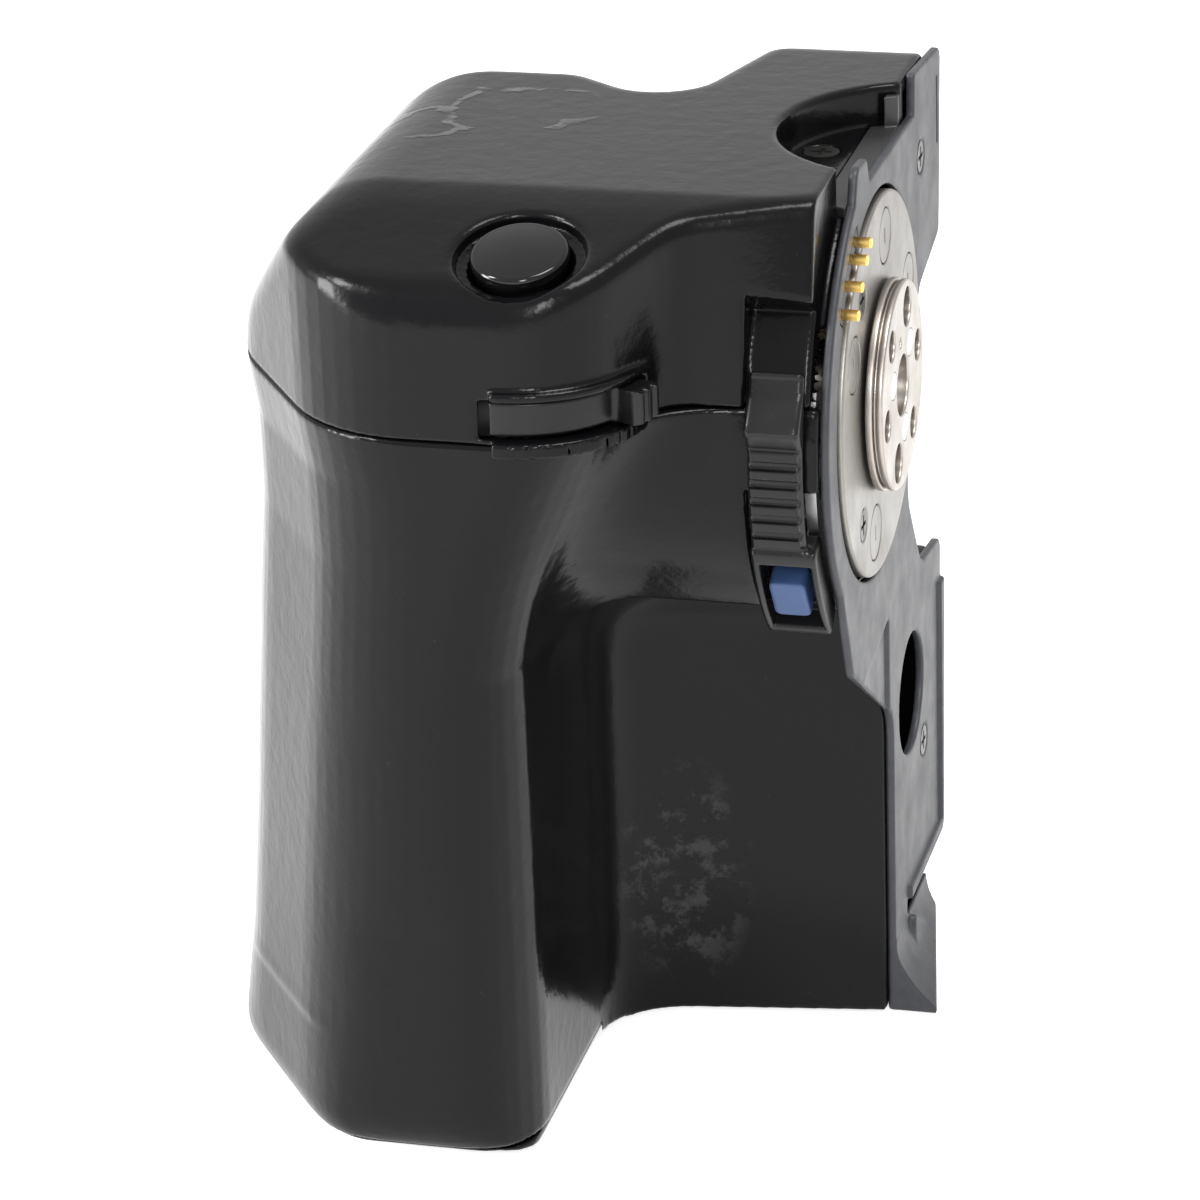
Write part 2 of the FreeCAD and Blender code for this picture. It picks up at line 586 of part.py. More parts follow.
def upper_housing():
    """Top half of the casing, with the deck, the button well and the lever slot."""
    shell = upper_form()
    inner = upper_form(WALL, 5.0, SEAM_Z + SEAM_GAP)
    inner = inner.fuse(upper_form(WALL, 5.0, SEAM_Z - 3.0).common(
        box((-80, 10), (-60, 50), (0, SEAM_Z + 2))))
    recess = rod(V(RECESS_X, RECESS_Y, RECESS_FLOOR), Z, RECESS_R, 20.0)
    lining = rod(V(RECESS_X, RECESS_Y, RECESS_FLOOR - RECESS_FLOOR_T), Z, RECESS_R + WALL, 30.0)
    well = button_rod(BUTTON_WELL_R, -BUTTON_WELL_DEPTH, 12.0)
    well_lining = button_rod(BUTTON_WELL_R + 1.4, BUTTON_DEPTHS[1], 12.0)
    x, y = RECESS_SCREW
    seat = rod(V(x, y, RECESS_FLOOR - 3.4), Z, 2.5, 3.0)
    shell = shell.cut(inner.cut(lining).cut(well_lining).cut(seat))
    shell = cut(shell, [recess, well, button_rod(BUTTON_R + BUTTON_CLEAR, -8.0, 12.0)])
    shell = shell.cut(box((INSERT_X, 5.0), (-40, 40), (RECESS_FLOOR - FLOOR_T - 1, 40))
                      .common(rod(V(RECESS_X, RECESS_Y, 0), Z, RECESS_R + 0.05, 40.0)))
    track = sector_x((TRACK_R - WALL, 44.0), (TRACK_X[0] - WALL, END_X), (0.0, TRACK_ANGLES[1] + 4.0))
    shell = shell.fuse(end_wall()).fuse(track.common(upper_form()))
    centre = (NOSE_X, NOSE_Y)
    frame = sector_z((NOSE_R - 0.6, NOSE_R + BEZEL_PROUD), (SEAM_Z + SEAM_GAP, BEZEL_Z[1]),
                     (-93.0, 0.0), centre)
    apron = sector_z((NOSE_R + 0.15, NOSE_R + BEZEL_PROUD), BEZEL_Z, (-93.0, 0.0), centre)
    bosses = [boss(x, y, (SEAM_Z + SEAM_GAP, TOP_Z)).common(upper_form()) for x, y in SHELL_BOSSES]
    post, post_bore = plate_post(0, THUMB_RIGHT_X - 1.2)
    shell = fuse([shell, frame, apron, post] + bosses)
    holes = [boss(x, y, (SEAM_Z, SEAM_Z + 6.0), SCREW_R + 0.05) for x, y in SHELL_BOSSES]
    groove = sector_x((RIM_R - 0.7, 44.0), (-1.9, 1.0), (14.0, 76.0))
    return cut(shell, holes + [recess_screw_hole(), rear_notch(), lever_groove(), post_bore, groove,
                               disc_seat(), track_cut(40.0, SEAM_Z)])


def recess_screw_hole():
    x, y = RECESS_SCREW
    return fuse([rod(V(x, y, RECESS_FLOOR - 3.0), Z, 1.05, 4.0),
                 rod(V(x, y, RECESS_FLOOR - 0.9), Z, 2.05, 3.0)])


RECESS_SCREW = (-7.5, 7.6)


def deck_normal():
    length = math.hypot(1.0, DECK_SLOPE)
    return V(0, -DECK_SLOPE / length, 1.0 / length)


def deck_point():
    return V(BUTTON_X, BUTTON_Y, TOP_Z + (BUTTON_Y - DECK_BACK_Y) * DECK_SLOPE)


def button_rod(radius, low, high):
    """A cylinder square to the deck, with heights counted from the deck."""
    n = deck_normal()
    return rod(deck_point() + n * low, n, radius, high - low)


def release_button():
    """Domed cap on a stem, guided by the collar below the deck."""
    n = deck_normal()
    top = BUTTON_DEPTHS[0]
    cap = button_rod(BUTTON_R, -2.6, -0.1).cut(button_rod(BUTTON_R - 1.2, -3.0, top))
    ball_r = 26.0
    ball = Part.makeSphere(ball_r, deck_point() + n * (0.75 - ball_r))
    dome = button_rod(BUTTON_R, -0.2, 1.5).common(ball)
    stem = button_rod(1.6, BUTTON_DEPTHS[2] + 2.4, top + 0.1)
    return fuse([cap, dome, stem])


def button_collar():
    """Guide for the button stem, seated under the deck."""
    top = BUTTON_DEPTHS[1] - 0.05
    plate = button_rod(BUTTON_WELL_R, top - 1.4, top)
    legs = [Part.makeBox(1.2, 5.0, 7.6, V(x, -2.5, top - 8.2)) for x in (-5.8, 4.6)]
    for leg in legs:
        leg.rotate(V(0, 0, 0), X, math.degrees(math.atan(DECK_SLOPE)))
        leg.translate(deck_point())
    collar = fuse([plate, button_rod(2.8, top - 3.0, top)] + legs)
    inside = upper_form(WALL + 0.15, END_X, SEAM_Z)
    return collar.common(inside).cut(button_rod(1.6 + RUNNING, -12.0, 0.0))


def helix_pipe(radius, height, turns, wire, steps=4):
    """Round wire along a helix, on arcs of a quarter turn."""
    def at(i):
        angle = 2 * math.pi * i / steps
        return V(radius * math.cos(angle), radius * math.sin(angle), height * i / (steps * turns))
    arcs = [Part.Arc(at(i), at(i + 0.5), at(i + 1)).toShape() for i in range(int(steps * turns))]
    rise = height / turns / (2 * math.pi * radius)
    profile = Part.Wire(Part.makeCircle(wire, V(radius, 0, 0), V(0, 1, rise)))
    return Part.Wire(arcs).makePipeShell([profile], True, False)


def button_spring():
    """Coil between the collar and the cap."""
    n = deck_normal()
    wire, radius, turns = 0.25, 2.7, 3
    low = BUTTON_DEPTHS[1] + wire + 0.03
    height = BUTTON_DEPTHS[0] - wire - 0.06 - low
    coil = helix_pipe(radius, height, turns, wire)
    coil.rotate(V(0, 0, 0), V(1, 0, 0), math.degrees(math.atan(DECK_SLOPE)))
    coil.translate(deck_point() + n * low)
    return coil


def release_switch():
    """Two-step switch body and its leaf, below the button stem."""
    n = deck_normal()
    body = Part.makeBox(9.0, 6.0, 2.6, V(-4.5, -3.0, -2.9))
    leaf = Part.makeBox(8.0, 3.0, 0.3, V(-4.0, -1.5, 0.3))
    post = Part.makeBox(1.2, 3.0, 0.8, V(-4.2, -1.5, -0.4))
    switch = fuse([body, leaf, post])
    switch.rotate(V(0, 0, 0), V(1, 0, 0), math.degrees(math.atan(DECK_SLOPE)))
    switch.translate(deck_point() + n * (BUTTON_DEPTHS[2] + 0.2))
    return switch


# Mode lever

def mode_lever():
    """Curved slide that turns about an upright pin, with a ribbed finger tab."""
    centre = (NOSE_X, NOSE_Y)
    z = (LEVER_Z[0] + 0.15, LEVER_Z[1] - 0.15)
    band_r = NOSE_R - 0.7
    band = sector_z((band_r - 1.4, band_r), z, (-95.0, 24.0), centre)
    arm = box((NOSE_X, NOSE_X + band_r - 1.0), (NOSE_Y - 2.0, NOSE_Y + 2.0), (z[0], z[0] + 1.4))
    arm.rotate(V(NOSE_X, NOSE_Y, 0), Z, -50.0)
    eye = rod(V(NOSE_X, NOSE_Y, z[0]), Z, 3.0, 3.0)
    tab = sector_z((band_r - 0.5, band_r + 3.0), z, (-27.0, -12.0), centre)
    ribs = [sector_z((band_r + 2.8, band_r + 3.4), z, (a, a + 2.6), centre)
            for a in (-26.0, -20.8, -15.6)]
    lever = fuse([band, arm, eye, tab] + ribs)
    return lever.cut(rod(V(NOSE_X, NOSE_Y, 0), Z, 1.2 + RUNNING, 20.0))


def mode_pivot():
    """Pin and foot that the mode lever turns on."""
    pin = rod(V(NOSE_X, NOSE_Y, BOARD_Z[1]), Z, 1.2, LEVER_Z[0] + 3.4 - BOARD_Z[1])
    flange = rod(V(NOSE_X, NOSE_Y, LEVER_Z[0] - 1.0), Z, 2.4, 1.05)
    return fuse([pin, flange])


def mode_switch_board():
    """Small board under the lever, let into the front wall, with its three contacts."""
    board = box((-42.0, -30.3), (-36.0, -23.9), BOARD_Z)
    tongue = box((-40.0, -36.0), (-38.8, -35.5), BOARD_Z)
    pads = [box((-40.0 + 3.6 * i, -38.0 + 3.6 * i), (-28.0, -25.0), (BOARD_Z[1] - 0.1, BOARD_Z[1] + 0.3))
            for i in range(2)]
    return fuse([board, tongue] + pads)


# Lock lever

def lock_lever():
    """Thumb piece on the gear housing, with a ridge, six ribs and a window."""
    r0, r1 = LOCK_R
    slab = sector_x((r0, r1 - 0.5), LOCK_X, (-48.0, 22.0))
    head = sector_x((r0, r1), LOCK_X, (5.0, 22.0))
    ribs = [sector_x((r1 - 0.7, r1 + 0.15), (LOCK_X[0] + 0.5, LOCK_X[1] - 0.5),
                     (-16.6 + 4.0 * i, -14.6 + 4.0 * i)) for i in range(6)]
    block = sector_x((LOCK_BLOCK_R, r1), (LOCK_X[0], -1.3), (-48.0, -18.5))
    web = sector_x((RING_R[0] + 0.4, LOCK_BLOCK_R + 0.2), (RING_X[0] - 1.2, RING_X[0] - 0.1), (-48.0, -18.5))
    window = sector_x((TRACK_R - 0.4, 40.0), (-7.4, -2.0), (-44.8, -22.0))
    return cut(fuse([slab, head, ridge(), block, web] + ribs), [window, lock_button_bore(0.3)])


def ridge():
    """Thumb ridge across the top of the lock lever."""
    r0, r1 = LOCK_R
    corners = [front(r1 - 0.6, 18.5), front(r1 - 0.2, 17.5), front(r1 + 1.5, 10.6),
               front(r1 + 1.5, 9.4), front(r1 - 0.2, 5.0), front(r1 - 1.2, 4.6),
               front(r0 + 0.2, 11.0)]
    points = [V(LOCK_X[0], y, z) for y, z in corners]
    face = Part.Face(Part.makePolygon(points + points[:1]))
    return face.extrude(X * (LOCK_X[1] - LOCK_X[0]))


def lock_frame(shape):
    """Turns a shape from the front of the circle to the lock button's angle."""
    shape.rotate(V(0, 0, 0), X, -LOCK_BUTTON_ANGLE)
    return shape


def lock_button_bore(clear):
    u, v = KEY_HALF[0] + clear, KEY_HALF[1] + clear
    return lock_frame(box((LOCK_BUTTON_X - u, LOCK_BUTTON_X + u), (-40.0, -10.0), (-v, v))
                      .common(along_x(0, 0, 60.0, (-20, 5))))


def lock_button():
    """Blue key that frees the lock lever."""
    u, v = KEY_HALF
    corners = [(-u, -v, 0.7), (u, -v, 0.7), (u, v, 0.7), (-u, v, 0.7)]
    top = -(LOCK_R[1] - 0.4)
    face = Part.Face(outline([(LOCK_BUTTON_X + u, v, r) for u, v, r in corners], "XZ", top))
    key = face.extrude(Y * 3.0)
    foot = box((LOCK_BUTTON_X - 1.0, LOCK_BUTTON_X + 1.0), (top + 2.9, top + 4.0), (-1.6, 1.6))
    return lock_frame(fuse([key, foot]))


def lock_button_spring():
    """Leaf that returns the lock button, held in the lever's block."""
    start = -(LOCK_BLOCK_R - 0.9)
    leaf = box((LOCK_BUTTON_X - 1.4, LOCK_BUTTON_X + 1.4), (start, start + 0.3), (-2.6, 2.6))
    return lock_frame(leaf)


def lock_ring():
    """Curved slide behind the mount plate that the lever drives."""
    ring = sector_x(RING_R, RING_X, (-60.0, 18.0))
    teeth = [sector_x((RING_R[0] - 0.01, RING_R[0] + 0.9), (RING_X[0] - 0.1, RING_X[1] + 0.1),
                      (a, a + 6.0)) for a in (-12.0, 4.0)]
    return cut(ring, teeth)


# Mount side

def plate_corners():
    """Outline of the mount plate, seen from the camera: Y, Z and corner radius."""
    return [(37.0, 26.9, 1.6), (21.6, 28.2, 0.4), (21.3, RECESS_FLOOR, 0.4),
            (-3.2, RECESS_FLOOR + 0.6, 0.3), (-4.4, 26.9, 0.9), (-9.4, 27.3, 1.6),
            (-13.0, 17.0, 0), (-13.0, -13.0, 0), (-20.2, -15.9, 0.4), (-14.9, -28.2, 2.5),
            (6.4, -41.8, 5.0), (6.4, BOTTOM_Z, 0.3), (25.0, BOTTOM_Z, 0.5), (25.0, BOTTOM_Z + 1.5, 0.4),
            (13.6, STEP_Z - 2.2, 0.6), (13.6, STEP_Z, 0.4), (34.0, STEP_Z, 1.5), (35.2, -32.0, 1.6),
            (23.6, -30.6, 4.0), (16.3, -20.0, 7.0), (16.8, -6.0, 9.0), (24.0, 2.7, 3.0),
            (35.6, 5.4, 1.5)]


def mount_plate():
    """Cast plate that closes the casing and lies against the camera."""
    body = prism(plate_corners(), "YZ", -PLATE_T, 0.0)
    arc = along_x(0, 0, RIM_R, (-PLATE_T, -0.3)).fuse(
        Part.makeCone(RIM_R, RIM_R - 0.3, 0.3, V(-0.3, 0, 0), X))
    arc = arc.common(box((-5, 5), (-TRACK_R - 3.0, -8.0), (-18.0, 26.0)))
    plate = fuse([body, arc, plate_boss(), plate_ledge(), plate_lip()])
    plate = plate.cut(along_x(0, 0, PLATE_HOLE_R, (-5, 5)))
    plate = plate.cut(along_x(WINDOW_Y, WINDOW_Z, WINDOW_R, (-5, 5)))
    plate = plate.cut(plate_pocket())
    slots = [sector_x((PIN_RING_R - 1.2, PIN_RING_R + 1.1), (-5, 5), (35.6, 64.6)),
             box((-0.6, 1.0), (34.2, 34.8), (16.3, 24.0))]
    holes = [plate_screw_hole(y, z) for y, z in PLATE_SCREWS]
    return cut(plate, slots + holes).fuse(disc_lugs())


def disc_lugs():
    """Lugs behind the plate that the disc rests on."""
    lugs = []
    for angles in ((-150.0, -112.0), (72.0, 108.0)):
        lugs.append(sector_x((DISC_R - 2.1, DISC_R + 1.1), (-2.6, DISC_X[0] - 0.05), angles))
        lugs.append(sector_x((PLATE_HOLE_R, DISC_R + 1.1), (-2.6, -PLATE_T + 0.1), angles))
    keep = box((-5, 5), (-30, 14.6), (-30, 30))
    return fuse(lugs).common(keep)


def plate_boss():
    """Raised foot beside the locating ledge."""
    corners = [(13.9, BOTTOM_Z, 0), (25.0, BOTTOM_Z, 0.4), (25.0, BOTTOM_Z + 1.5, 1.0),
               (15.0, STEP_Z - 2.4, 0.8), (13.9, STEP_Z - 2.2, 0.4)]
    return prism(corners, "YZ", -0.2, 0.9)


def plate_ledge():
    """Ledge that hooks under the camera, hollowed above and tapered to the rear."""
    reach, height = 4.7, 8.7
    profile = [V(-0.2, 6.4, BOTTOM_Z), V(reach, 6.4, BOTTOM_Z), V(reach, 6.4, BOTTOM_Z + 0.5)]
    turn = Part.Arc(profile[2], V(1.45, 6.4, BOTTOM_Z + 3.9), V(0.0, 6.4, BOTTOM_Z + height))
    back = [V(0.0, 6.4, BOTTOM_Z + height), V(-0.2, 6.4, BOTTOM_Z + height), profile[0]]
    edges = [Part.LineSegment(profile[0], profile[1]).toShape(),
             Part.LineSegment(profile[1], profile[2]).toShape(), turn.toShape(),
             Part.LineSegment(back[0], back[1]).toShape(),
             Part.LineSegment(back[1], back[2]).toShape()]
    ledge = Part.Face(Part.Wire(edges)).extrude(Y * 18.6)
    keep = prism([(-1.0, 6.0, 0), (reach + 0.1, 6.0, 0), (1.0, 25.0, 0), (-1.0, 25.0, 0)],
                 "XY", BOTTOM_Z - 1, BOTTOM_Z + 20)
    return ledge.common(keep)


def plate_lip():
    """Low rim along the rear and the lower edge."""
    rear = box((-0.2, 0.6), (32.9, 36.0), (STEP_Z + 1.2, -37.0))
    low = box((-0.2, 0.6), (14.0, 36.0), (STEP_Z, STEP_Z + 1.6))
    outline_body = prism(plate_corners(), "YZ", -0.2, 0.6)
    return fuse([rear, low]).common(outline_body)


def plate_pocket():
    """Shallow sloping pocket at the corner of the plate."""
    tips = [V(0.02, 4.4, -29.5), V(0.02, 4.4, -52.0), V(0.02, -12.0, -32.0),
            V(-0.45, 4.4, -32.0), V(-0.45, 4.4, -42.0)]
    sides = ((0, 1, 4, 3), (0, 2, 1), (0, 3, 2), (3, 4, 2), (4, 1, 2))
    faces = [Part.Face(Part.makePolygon([tips[i] for i in side + side[:1]])) for side in sides]
    return Part.Solid(Part.Shell(faces))


PLATE_SCREWS = ((25.0, 17.6), (24.1, -53.2))


def plate_screw_hole(y, z):
    return fuse([along_x(y, z, 1.0, (-5.0, 1.0)),
                 Part.makeCone(1.0, 2.0, 0.8, V(-0.8, y, z), X)])


def csk_screw(y, z, face_x, length, head_r=1.85, body_r=0.9):
    """Countersunk cross-head screw that lies along X, with its head at face_x."""
    head = Part.makeCone(body_r, head_r, 0.75, V(face_x - 0.8, y, z), X)
    body = along_x(y, z, body_r, (face_x - length, face_x - 0.7))
    arms = [box((face_x - 0.45, face_x + 1), (y - 1.15, y + 1.15), (z - 0.22, z + 0.22)),
            box((face_x - 0.45, face_x + 1), (y - 0.22, y + 0.22), (z - 1.15, z + 1.15))]
    return cut(fuse([head, body]), arms)


def plate_screws():
    return [csk_screw(y, z, 0.0, 4.5) for y, z in PLATE_SCREWS]


def mount_disc():
    """Ground steel disc around the coupling, seated in the mount plate."""
    disc = along_x(0, 0, DISC_R - 0.25, DISC_X).fuse(along_x(0, 0, DISC_R, (DISC_X[0], 0.25)))
    disc = disc.cut(along_x(0, 0, SHAFT_R + 1.9, (-5, 5)))
    holes = []
    for a in STUD_ANGLES:
        y, z = polar(STUD_RING_R, a)
        holes.append(along_x(y, z, STUD_R + 0.08, (-0.6, 1.0)))
    for a in DISC_SCREW_ANGLES:
        y, z = polar(STUD_RING_R, a)
        holes.append(along_x(y, z, 1.0, (-5.0, 1.0)))
        holes.append(Part.makeCone(1.0, 2.0, 0.8, V(DISC_X[1] - 0.8, y, z), X))
    return cut(disc, holes)


def disc_studs():
    """Round plugs pressed in the disc, each with a screwdriver slot."""
    studs = []
    for a in STUD_ANGLES:
        y, z = polar(STUD_RING_R, a)
        stud = along_x(y, z, STUD_R, (-0.6, DISC_X[1]))
        studs.append(stud.cut(box((0.0, 1.0), (y - 0.25, y + 0.25), (z - 0.9, z + 0.9))))
    return studs


def disc_screws():
    return [csk_screw(*polar(STUD_RING_R, a), DISC_X[1], 4.5) for a in DISC_SCREW_ANGLES]


def coupling_hub():
    """Drive coupling face with six drive holes and a hollow shaft."""
    body = fuse([along_x(0, 0, HUB_R, (HUB_X[0], HUB_GROOVE_X[0])),
                 along_x(0, 0, HUB_GROOVE_R, (HUB_X[0], HUB_X[1])),
                 along_x(0, 0, HUB_R - 0.15, (HUB_GROOVE_X[1], HUB_X[1])),
                 along_x(0, 0, SHAFT_R + 1.2, (REAR_FRAME_X[1] - 1.0, HUB_X[0] + 0.1))])
    tools = [along_x(0, 0, COUPLING_R, (HUB_X[1] - COUPLING_DEPTH, HUB_X[1] + 1))]
    for i in range(6):
        y, z = polar(HUB_PCD_R, HUB_TURN + 60.0 * i)
        radius = HUB_BIG_R if i % 3 == 0 else HUB_SMALL_R
        tools.append(along_x(y, z, radius, (HUB_X[0] - 1, HUB_X[1] + 1)))
    for i in range(3):
        y, z = rivet_place(i)
        tools.append(along_x(y, z, RIVET_R + 0.05, (HUB_X[1] - 0.8, HUB_X[1] + 1)))
    y, z = polar(RIVET_RING_R, HUB_TURN + 31.0)
    tools.append(along_x(y, z, TINY_R, (HUB_X[1] - 0.8, HUB_X[1] + 1)))
    return cut(body, tools)


def rivet_place(i):
    return polar(RIVET_RING_R, HUB_TURN - 30.0 + 120.0 * i)


def hub_rivets():
    rivets = []
    for i in range(3):
        y, z = rivet_place(i)
        rivet = along_x(y, z, RIVET_R, (HUB_X[1] - 0.8, HUB_X[1] + 0.05))
        rivets.append(rivet.cut(along_x(y, z, 0.45, (HUB_X[1] - 0.25, HUB_X[1] + 1))))
    return rivets


def contact_block():
    """Insulator that carries the four sprung contact pins."""
    block = sector_x((PIN_RING_R - 0.7, PIN_RING_R + 0.8), (-1.2, -0.1), (36.0, 64.2)).fuse(
        sector_x((PIN_RING_R - 0.7, PIN_RING_R + 0.9), (-7.4, -1.1), (35.0, 66.0)))
    return cut(block, [pin_at(a, PIN_R + PIN_CLEAR, (-5.6, 1.0)) for a in PIN_ANGLES])


def pin_at(angle, radius, x):
    y, z = front(PIN_RING_R, angle)
    return along_x(y, z, radius, x)


def contact_pin(angle):
    y, z = front(PIN_RING_R, angle)
    tip = Part.makeCone(PIN_R, PIN_R - 0.15, 0.15, V(PIN_OUT - 0.15, y, z), X)
    return fuse([pin_at(angle, PIN_R, (-4.2, PIN_OUT - 0.15)), tip])


def recess_insert():
    """Part of the inner casting that shows in the floor of the top recess."""
    inside = rod(V(RECESS_X, RECESS_Y, 0), Z, RECESS_R - 0.05, 40.0)
    floor = box((INSERT_X + 0.1, -PLATE_T), (-20, 30), (RECESS_FLOOR - 1.2, RECESS_FLOOR))
    wall = box((-2.4, -PLATE_T), (16.0, 30.0), (RECESS_FLOOR - 0.1, TOP_Z - 1.6))
    hollow = rod(V(RECESS_X, RECESS_Y, RECESS_FLOOR), Z, RECESS_R - 1.1, 20.0)
    return fuse([floor, wall.cut(hollow)]).common(inside)


def recess_screw():
    x, y = RECESS_SCREW
    head = rod(V(x, y, RECESS_FLOOR - 0.9), Z, 1.95, 0.8)
    body = rod(V(x, y, RECESS_FLOOR - 2.9), Z, 1.0, 2.2)
    arms = [box((x - 1.2, x + 1.2), (y - 0.22, y + 0.22), (RECESS_FLOOR - 0.5, RECESS_FLOOR + 1)),
            box((x - 0.22, x + 0.22), (y - 1.2, y + 1.2), (RECESS_FLOOR - 0.5, RECESS_FLOOR + 1))]
    return cut(fuse([head, body]), arms)


# Gear train

def involute_point(base, angle):
    return (base * (math.cos(angle) + angle * math.sin(angle)),
            base * (math.sin(angle) - angle * math.cos(angle)))


def gear(teeth, x, turn, centre):
    """Spur gear about an axis along X. turn is the angle of one tooth, from +Y towards +Z."""
    pitch_r = MODULE * teeth / 2
    base = pitch_r * math.cos(math.radians(20))
    tip, root = pitch_r + 0.85 * MODULE, pitch_r - 1.2 * MODULE
    backlash = 0.11
    inv = math.tan(math.radians(20)) - math.radians(20)
    half = math.pi / (2 * teeth) + inv - backlash / (2 * pitch_r)
    start = max(root, base)
    steps = [start + (tip - start) * i / 3 for i in range(4)]
    flank = []
    for radius in steps:
        roll = math.sqrt(max((radius / base) ** 2 - 1, 0))
        px, py = involute_point(base, roll)
        flank.append((math.hypot(px, py), math.atan2(py, px)))
    points = []
    for i in range(teeth):
        middle = math.radians(turn) + 2 * math.pi * i / teeth
        side = [(root, middle - half)] if root < base else []
        side += [(r, middle - half + a) for r, a in flank]
        side += [(r, middle + half - a) for r, a in reversed(flank)]
        side += [(root, middle + half)] if root < base else []
        points += [V(x[0], centre[0] + r * math.cos(a), centre[1] + r * math.sin(a))
                   for r, a in side]
    face = Part.Face(Part.makePolygon(points + points[:1]))
    return face.extrude(X * (x[1] - x[0]))


def idler_centre():
    return front(MODULE * (HUB_TEETH + IDLER_TEETH) / 2, IDLER_ANGLE)


def motor_centre():
    y, z = idler_centre()
    dy, dz = front(MODULE * (WHEEL_TEETH + PINION_TEETH) / 2, MOTOR_TURN)
    return y + dy, z + dz


def mesh_turn(teeth, other_turn, other_teeth, direction):
    """Angle of a tooth so that a gap faces the other gear's tooth across the line of centres."""
    phase = (direction - other_turn) * other_teeth / 360.0
    return direction + 180.0 + (phase + 0.5) * 360.0 / teeth


def direction_of(a, b):
    return math.degrees(math.atan2(b[1] - a[1], b[0] - a[0]))


def hub_gear():
    wheel = gear(HUB_TEETH, GEAR_A_X, 0.0, (0.0, 0.0))
    return wheel.cut(along_x(0, 0, SHAFT_R + 1.2, (-20, 0)))


def idler_gear():
    """Compound wheel between the motor pinion and the hub gear."""
    centre = idler_centre()
    small_turn = mesh_turn(IDLER_TEETH, 0.0, HUB_TEETH, direction_of((0, 0), centre))
    small = gear(IDLER_TEETH, (GEAR_B_X[1] - 0.1, GEAR_A_X[1]), small_turn, centre)
    big = gear(WHEEL_TEETH, GEAR_B_X, 0.0, centre)
    return fuse([small, big]).cut(along_x(*centre, IDLER_PIN_R + RUNNING, (-20, 0)))


def motor_pinion():
    centre, hub = motor_centre(), idler_centre()
    turn = mesh_turn(PINION_TEETH, 0.0, WHEEL_TEETH, direction_of(hub, centre))
    pinion = gear(PINION_TEETH, (GEAR_B_X[0], GEAR_B_X[1]), turn, centre)
    shaft = along_x(*centre, 1.0, (REAR_FRAME_X[0] - 3.0, GEAR_B_X[0] + 0.1))
    return fuse([pinion, shaft])


def idler_pin():
    centre = idler_centre()
    return along_x(*centre, IDLER_PIN_R, (REAR_FRAME_X[0], FRONT_FRAME_X[1]))


POST_PLACES = ((17.2, 60.0), (17.2, 300.0), (18.2, 222.0))


def frame_posts():
    """Spacers between the disc and the two frame plates."""
    posts = [along_x(*polar(*place_), 1.5, (REAR_FRAME_X[1], FRONT_FRAME_X[0]))
             for place_ in POST_PLACES]
    for a in DISC_SCREW_ANGLES:
        post = along_x(*polar(STUD_RING_R, a), 1.9, (FRONT_FRAME_X[1], DISC_X[0]))
        posts.append(post.cut(along_x(*polar(STUD_RING_R, a), 0.95, (-5.0, 0.0))))
    return posts


def front_frame():
    """Plate behind the disc, with the bush seat of the coupling shaft."""
    plate = along_x(0, 0, DISC_R - 0.4, FRONT_FRAME_X)
    plate = plate.common(box((-20, 0), (-30, 14.6), (-19.6, 20.8)))
    holes = [along_x(0, 0, BUSH_R, (-20, 0)), along_x(*idler_centre(), IDLER_PIN_R, (-20, 0))]
    return cut(plate, holes)


def rear_frame():
    """Plate that carries the motor."""
    plate = along_x(0, 0, DISC_R - 0.4, REAR_FRAME_X)
    plate = plate.common(box((-20, 0), (-30, 14.6), (-19.6, 20.8)))
    centre = motor_centre()
    holes = [along_x(0, 0, BUSH_R, (-20, 0)), along_x(*idler_centre(), IDLER_PIN_R, (-20, 0)),
             along_x(*centre, MOTOR_BOSS_R + 0.1, (-20, 0))]
    return cut(plate, holes)


def shaft_bushes():
    """Bearing bushes of the coupling shaft, one in each frame plate."""
    inner = SHAFT_R + 1.2 + RUNNING
    front_bush = tube_x((inner, BUSH_R), FRONT_FRAME_X).fuse(
        tube_x((inner, BUSH_R + 1.0), (FRONT_FRAME_X[1], FRONT_FRAME_X[1] + 0.8)))
    return [front_bush, tube_x((inner, BUSH_R), REAR_FRAME_X)]


def motor():
    """Motor can with its end boss and terminals."""
    y, z = motor_centre()
    start = REAR_FRAME_X[0] - MOTOR_LENGTH
    can = along_x(y, z, MOTOR_R, (start, REAR_FRAME_X[0]))
    boss_ring = along_x(y, z, MOTOR_BOSS_R, (REAR_FRAME_X[0] - 0.1, REAR_FRAME_X[0] + 1.0))
    tabs = [box((start - 2.0, start + 0.1), (y + dy - 0.8, y + dy + 0.8), (z + 3.0, z + 3.5))
            for dy in (-4.0, 4.0)]
    body = fuse([can, boss_ring] + tabs)
    return body.cut(along_x(y, z, 1.0 + RUNNING, (REAR_FRAME_X[0] - 3.4, 0)))


def circuit_board():
    """Motor control board behind the finger recess panel, below the plate's window."""
    return box(CIRCUIT_X, CIRCUIT_Y, CIRCUIT_Z)


def board_parts():
    """Capacitor, relay and driver chips on the board."""
    y, low = CIRCUIT_Y[1], CIRCUIT_Z[0] + 1.0
    can = rod(V(-17.0, y + 5.2, low), Z, 4.0, 12.0).fuse(
        box((-17.8, -16.2), (y, y + 5.2), (low + 3.0, low + 5.0)))
    chips = [box((-27.0, -23.0), (y, y + 1.2), (low + 7.0 * i, low + 5.0 + 7.0 * i)) for i in range(2)]
    relay = box((-12.0, -5.0), (y, y + 6.2), (low + 1.0, low + 11.0))
    return [can, relay] + chips


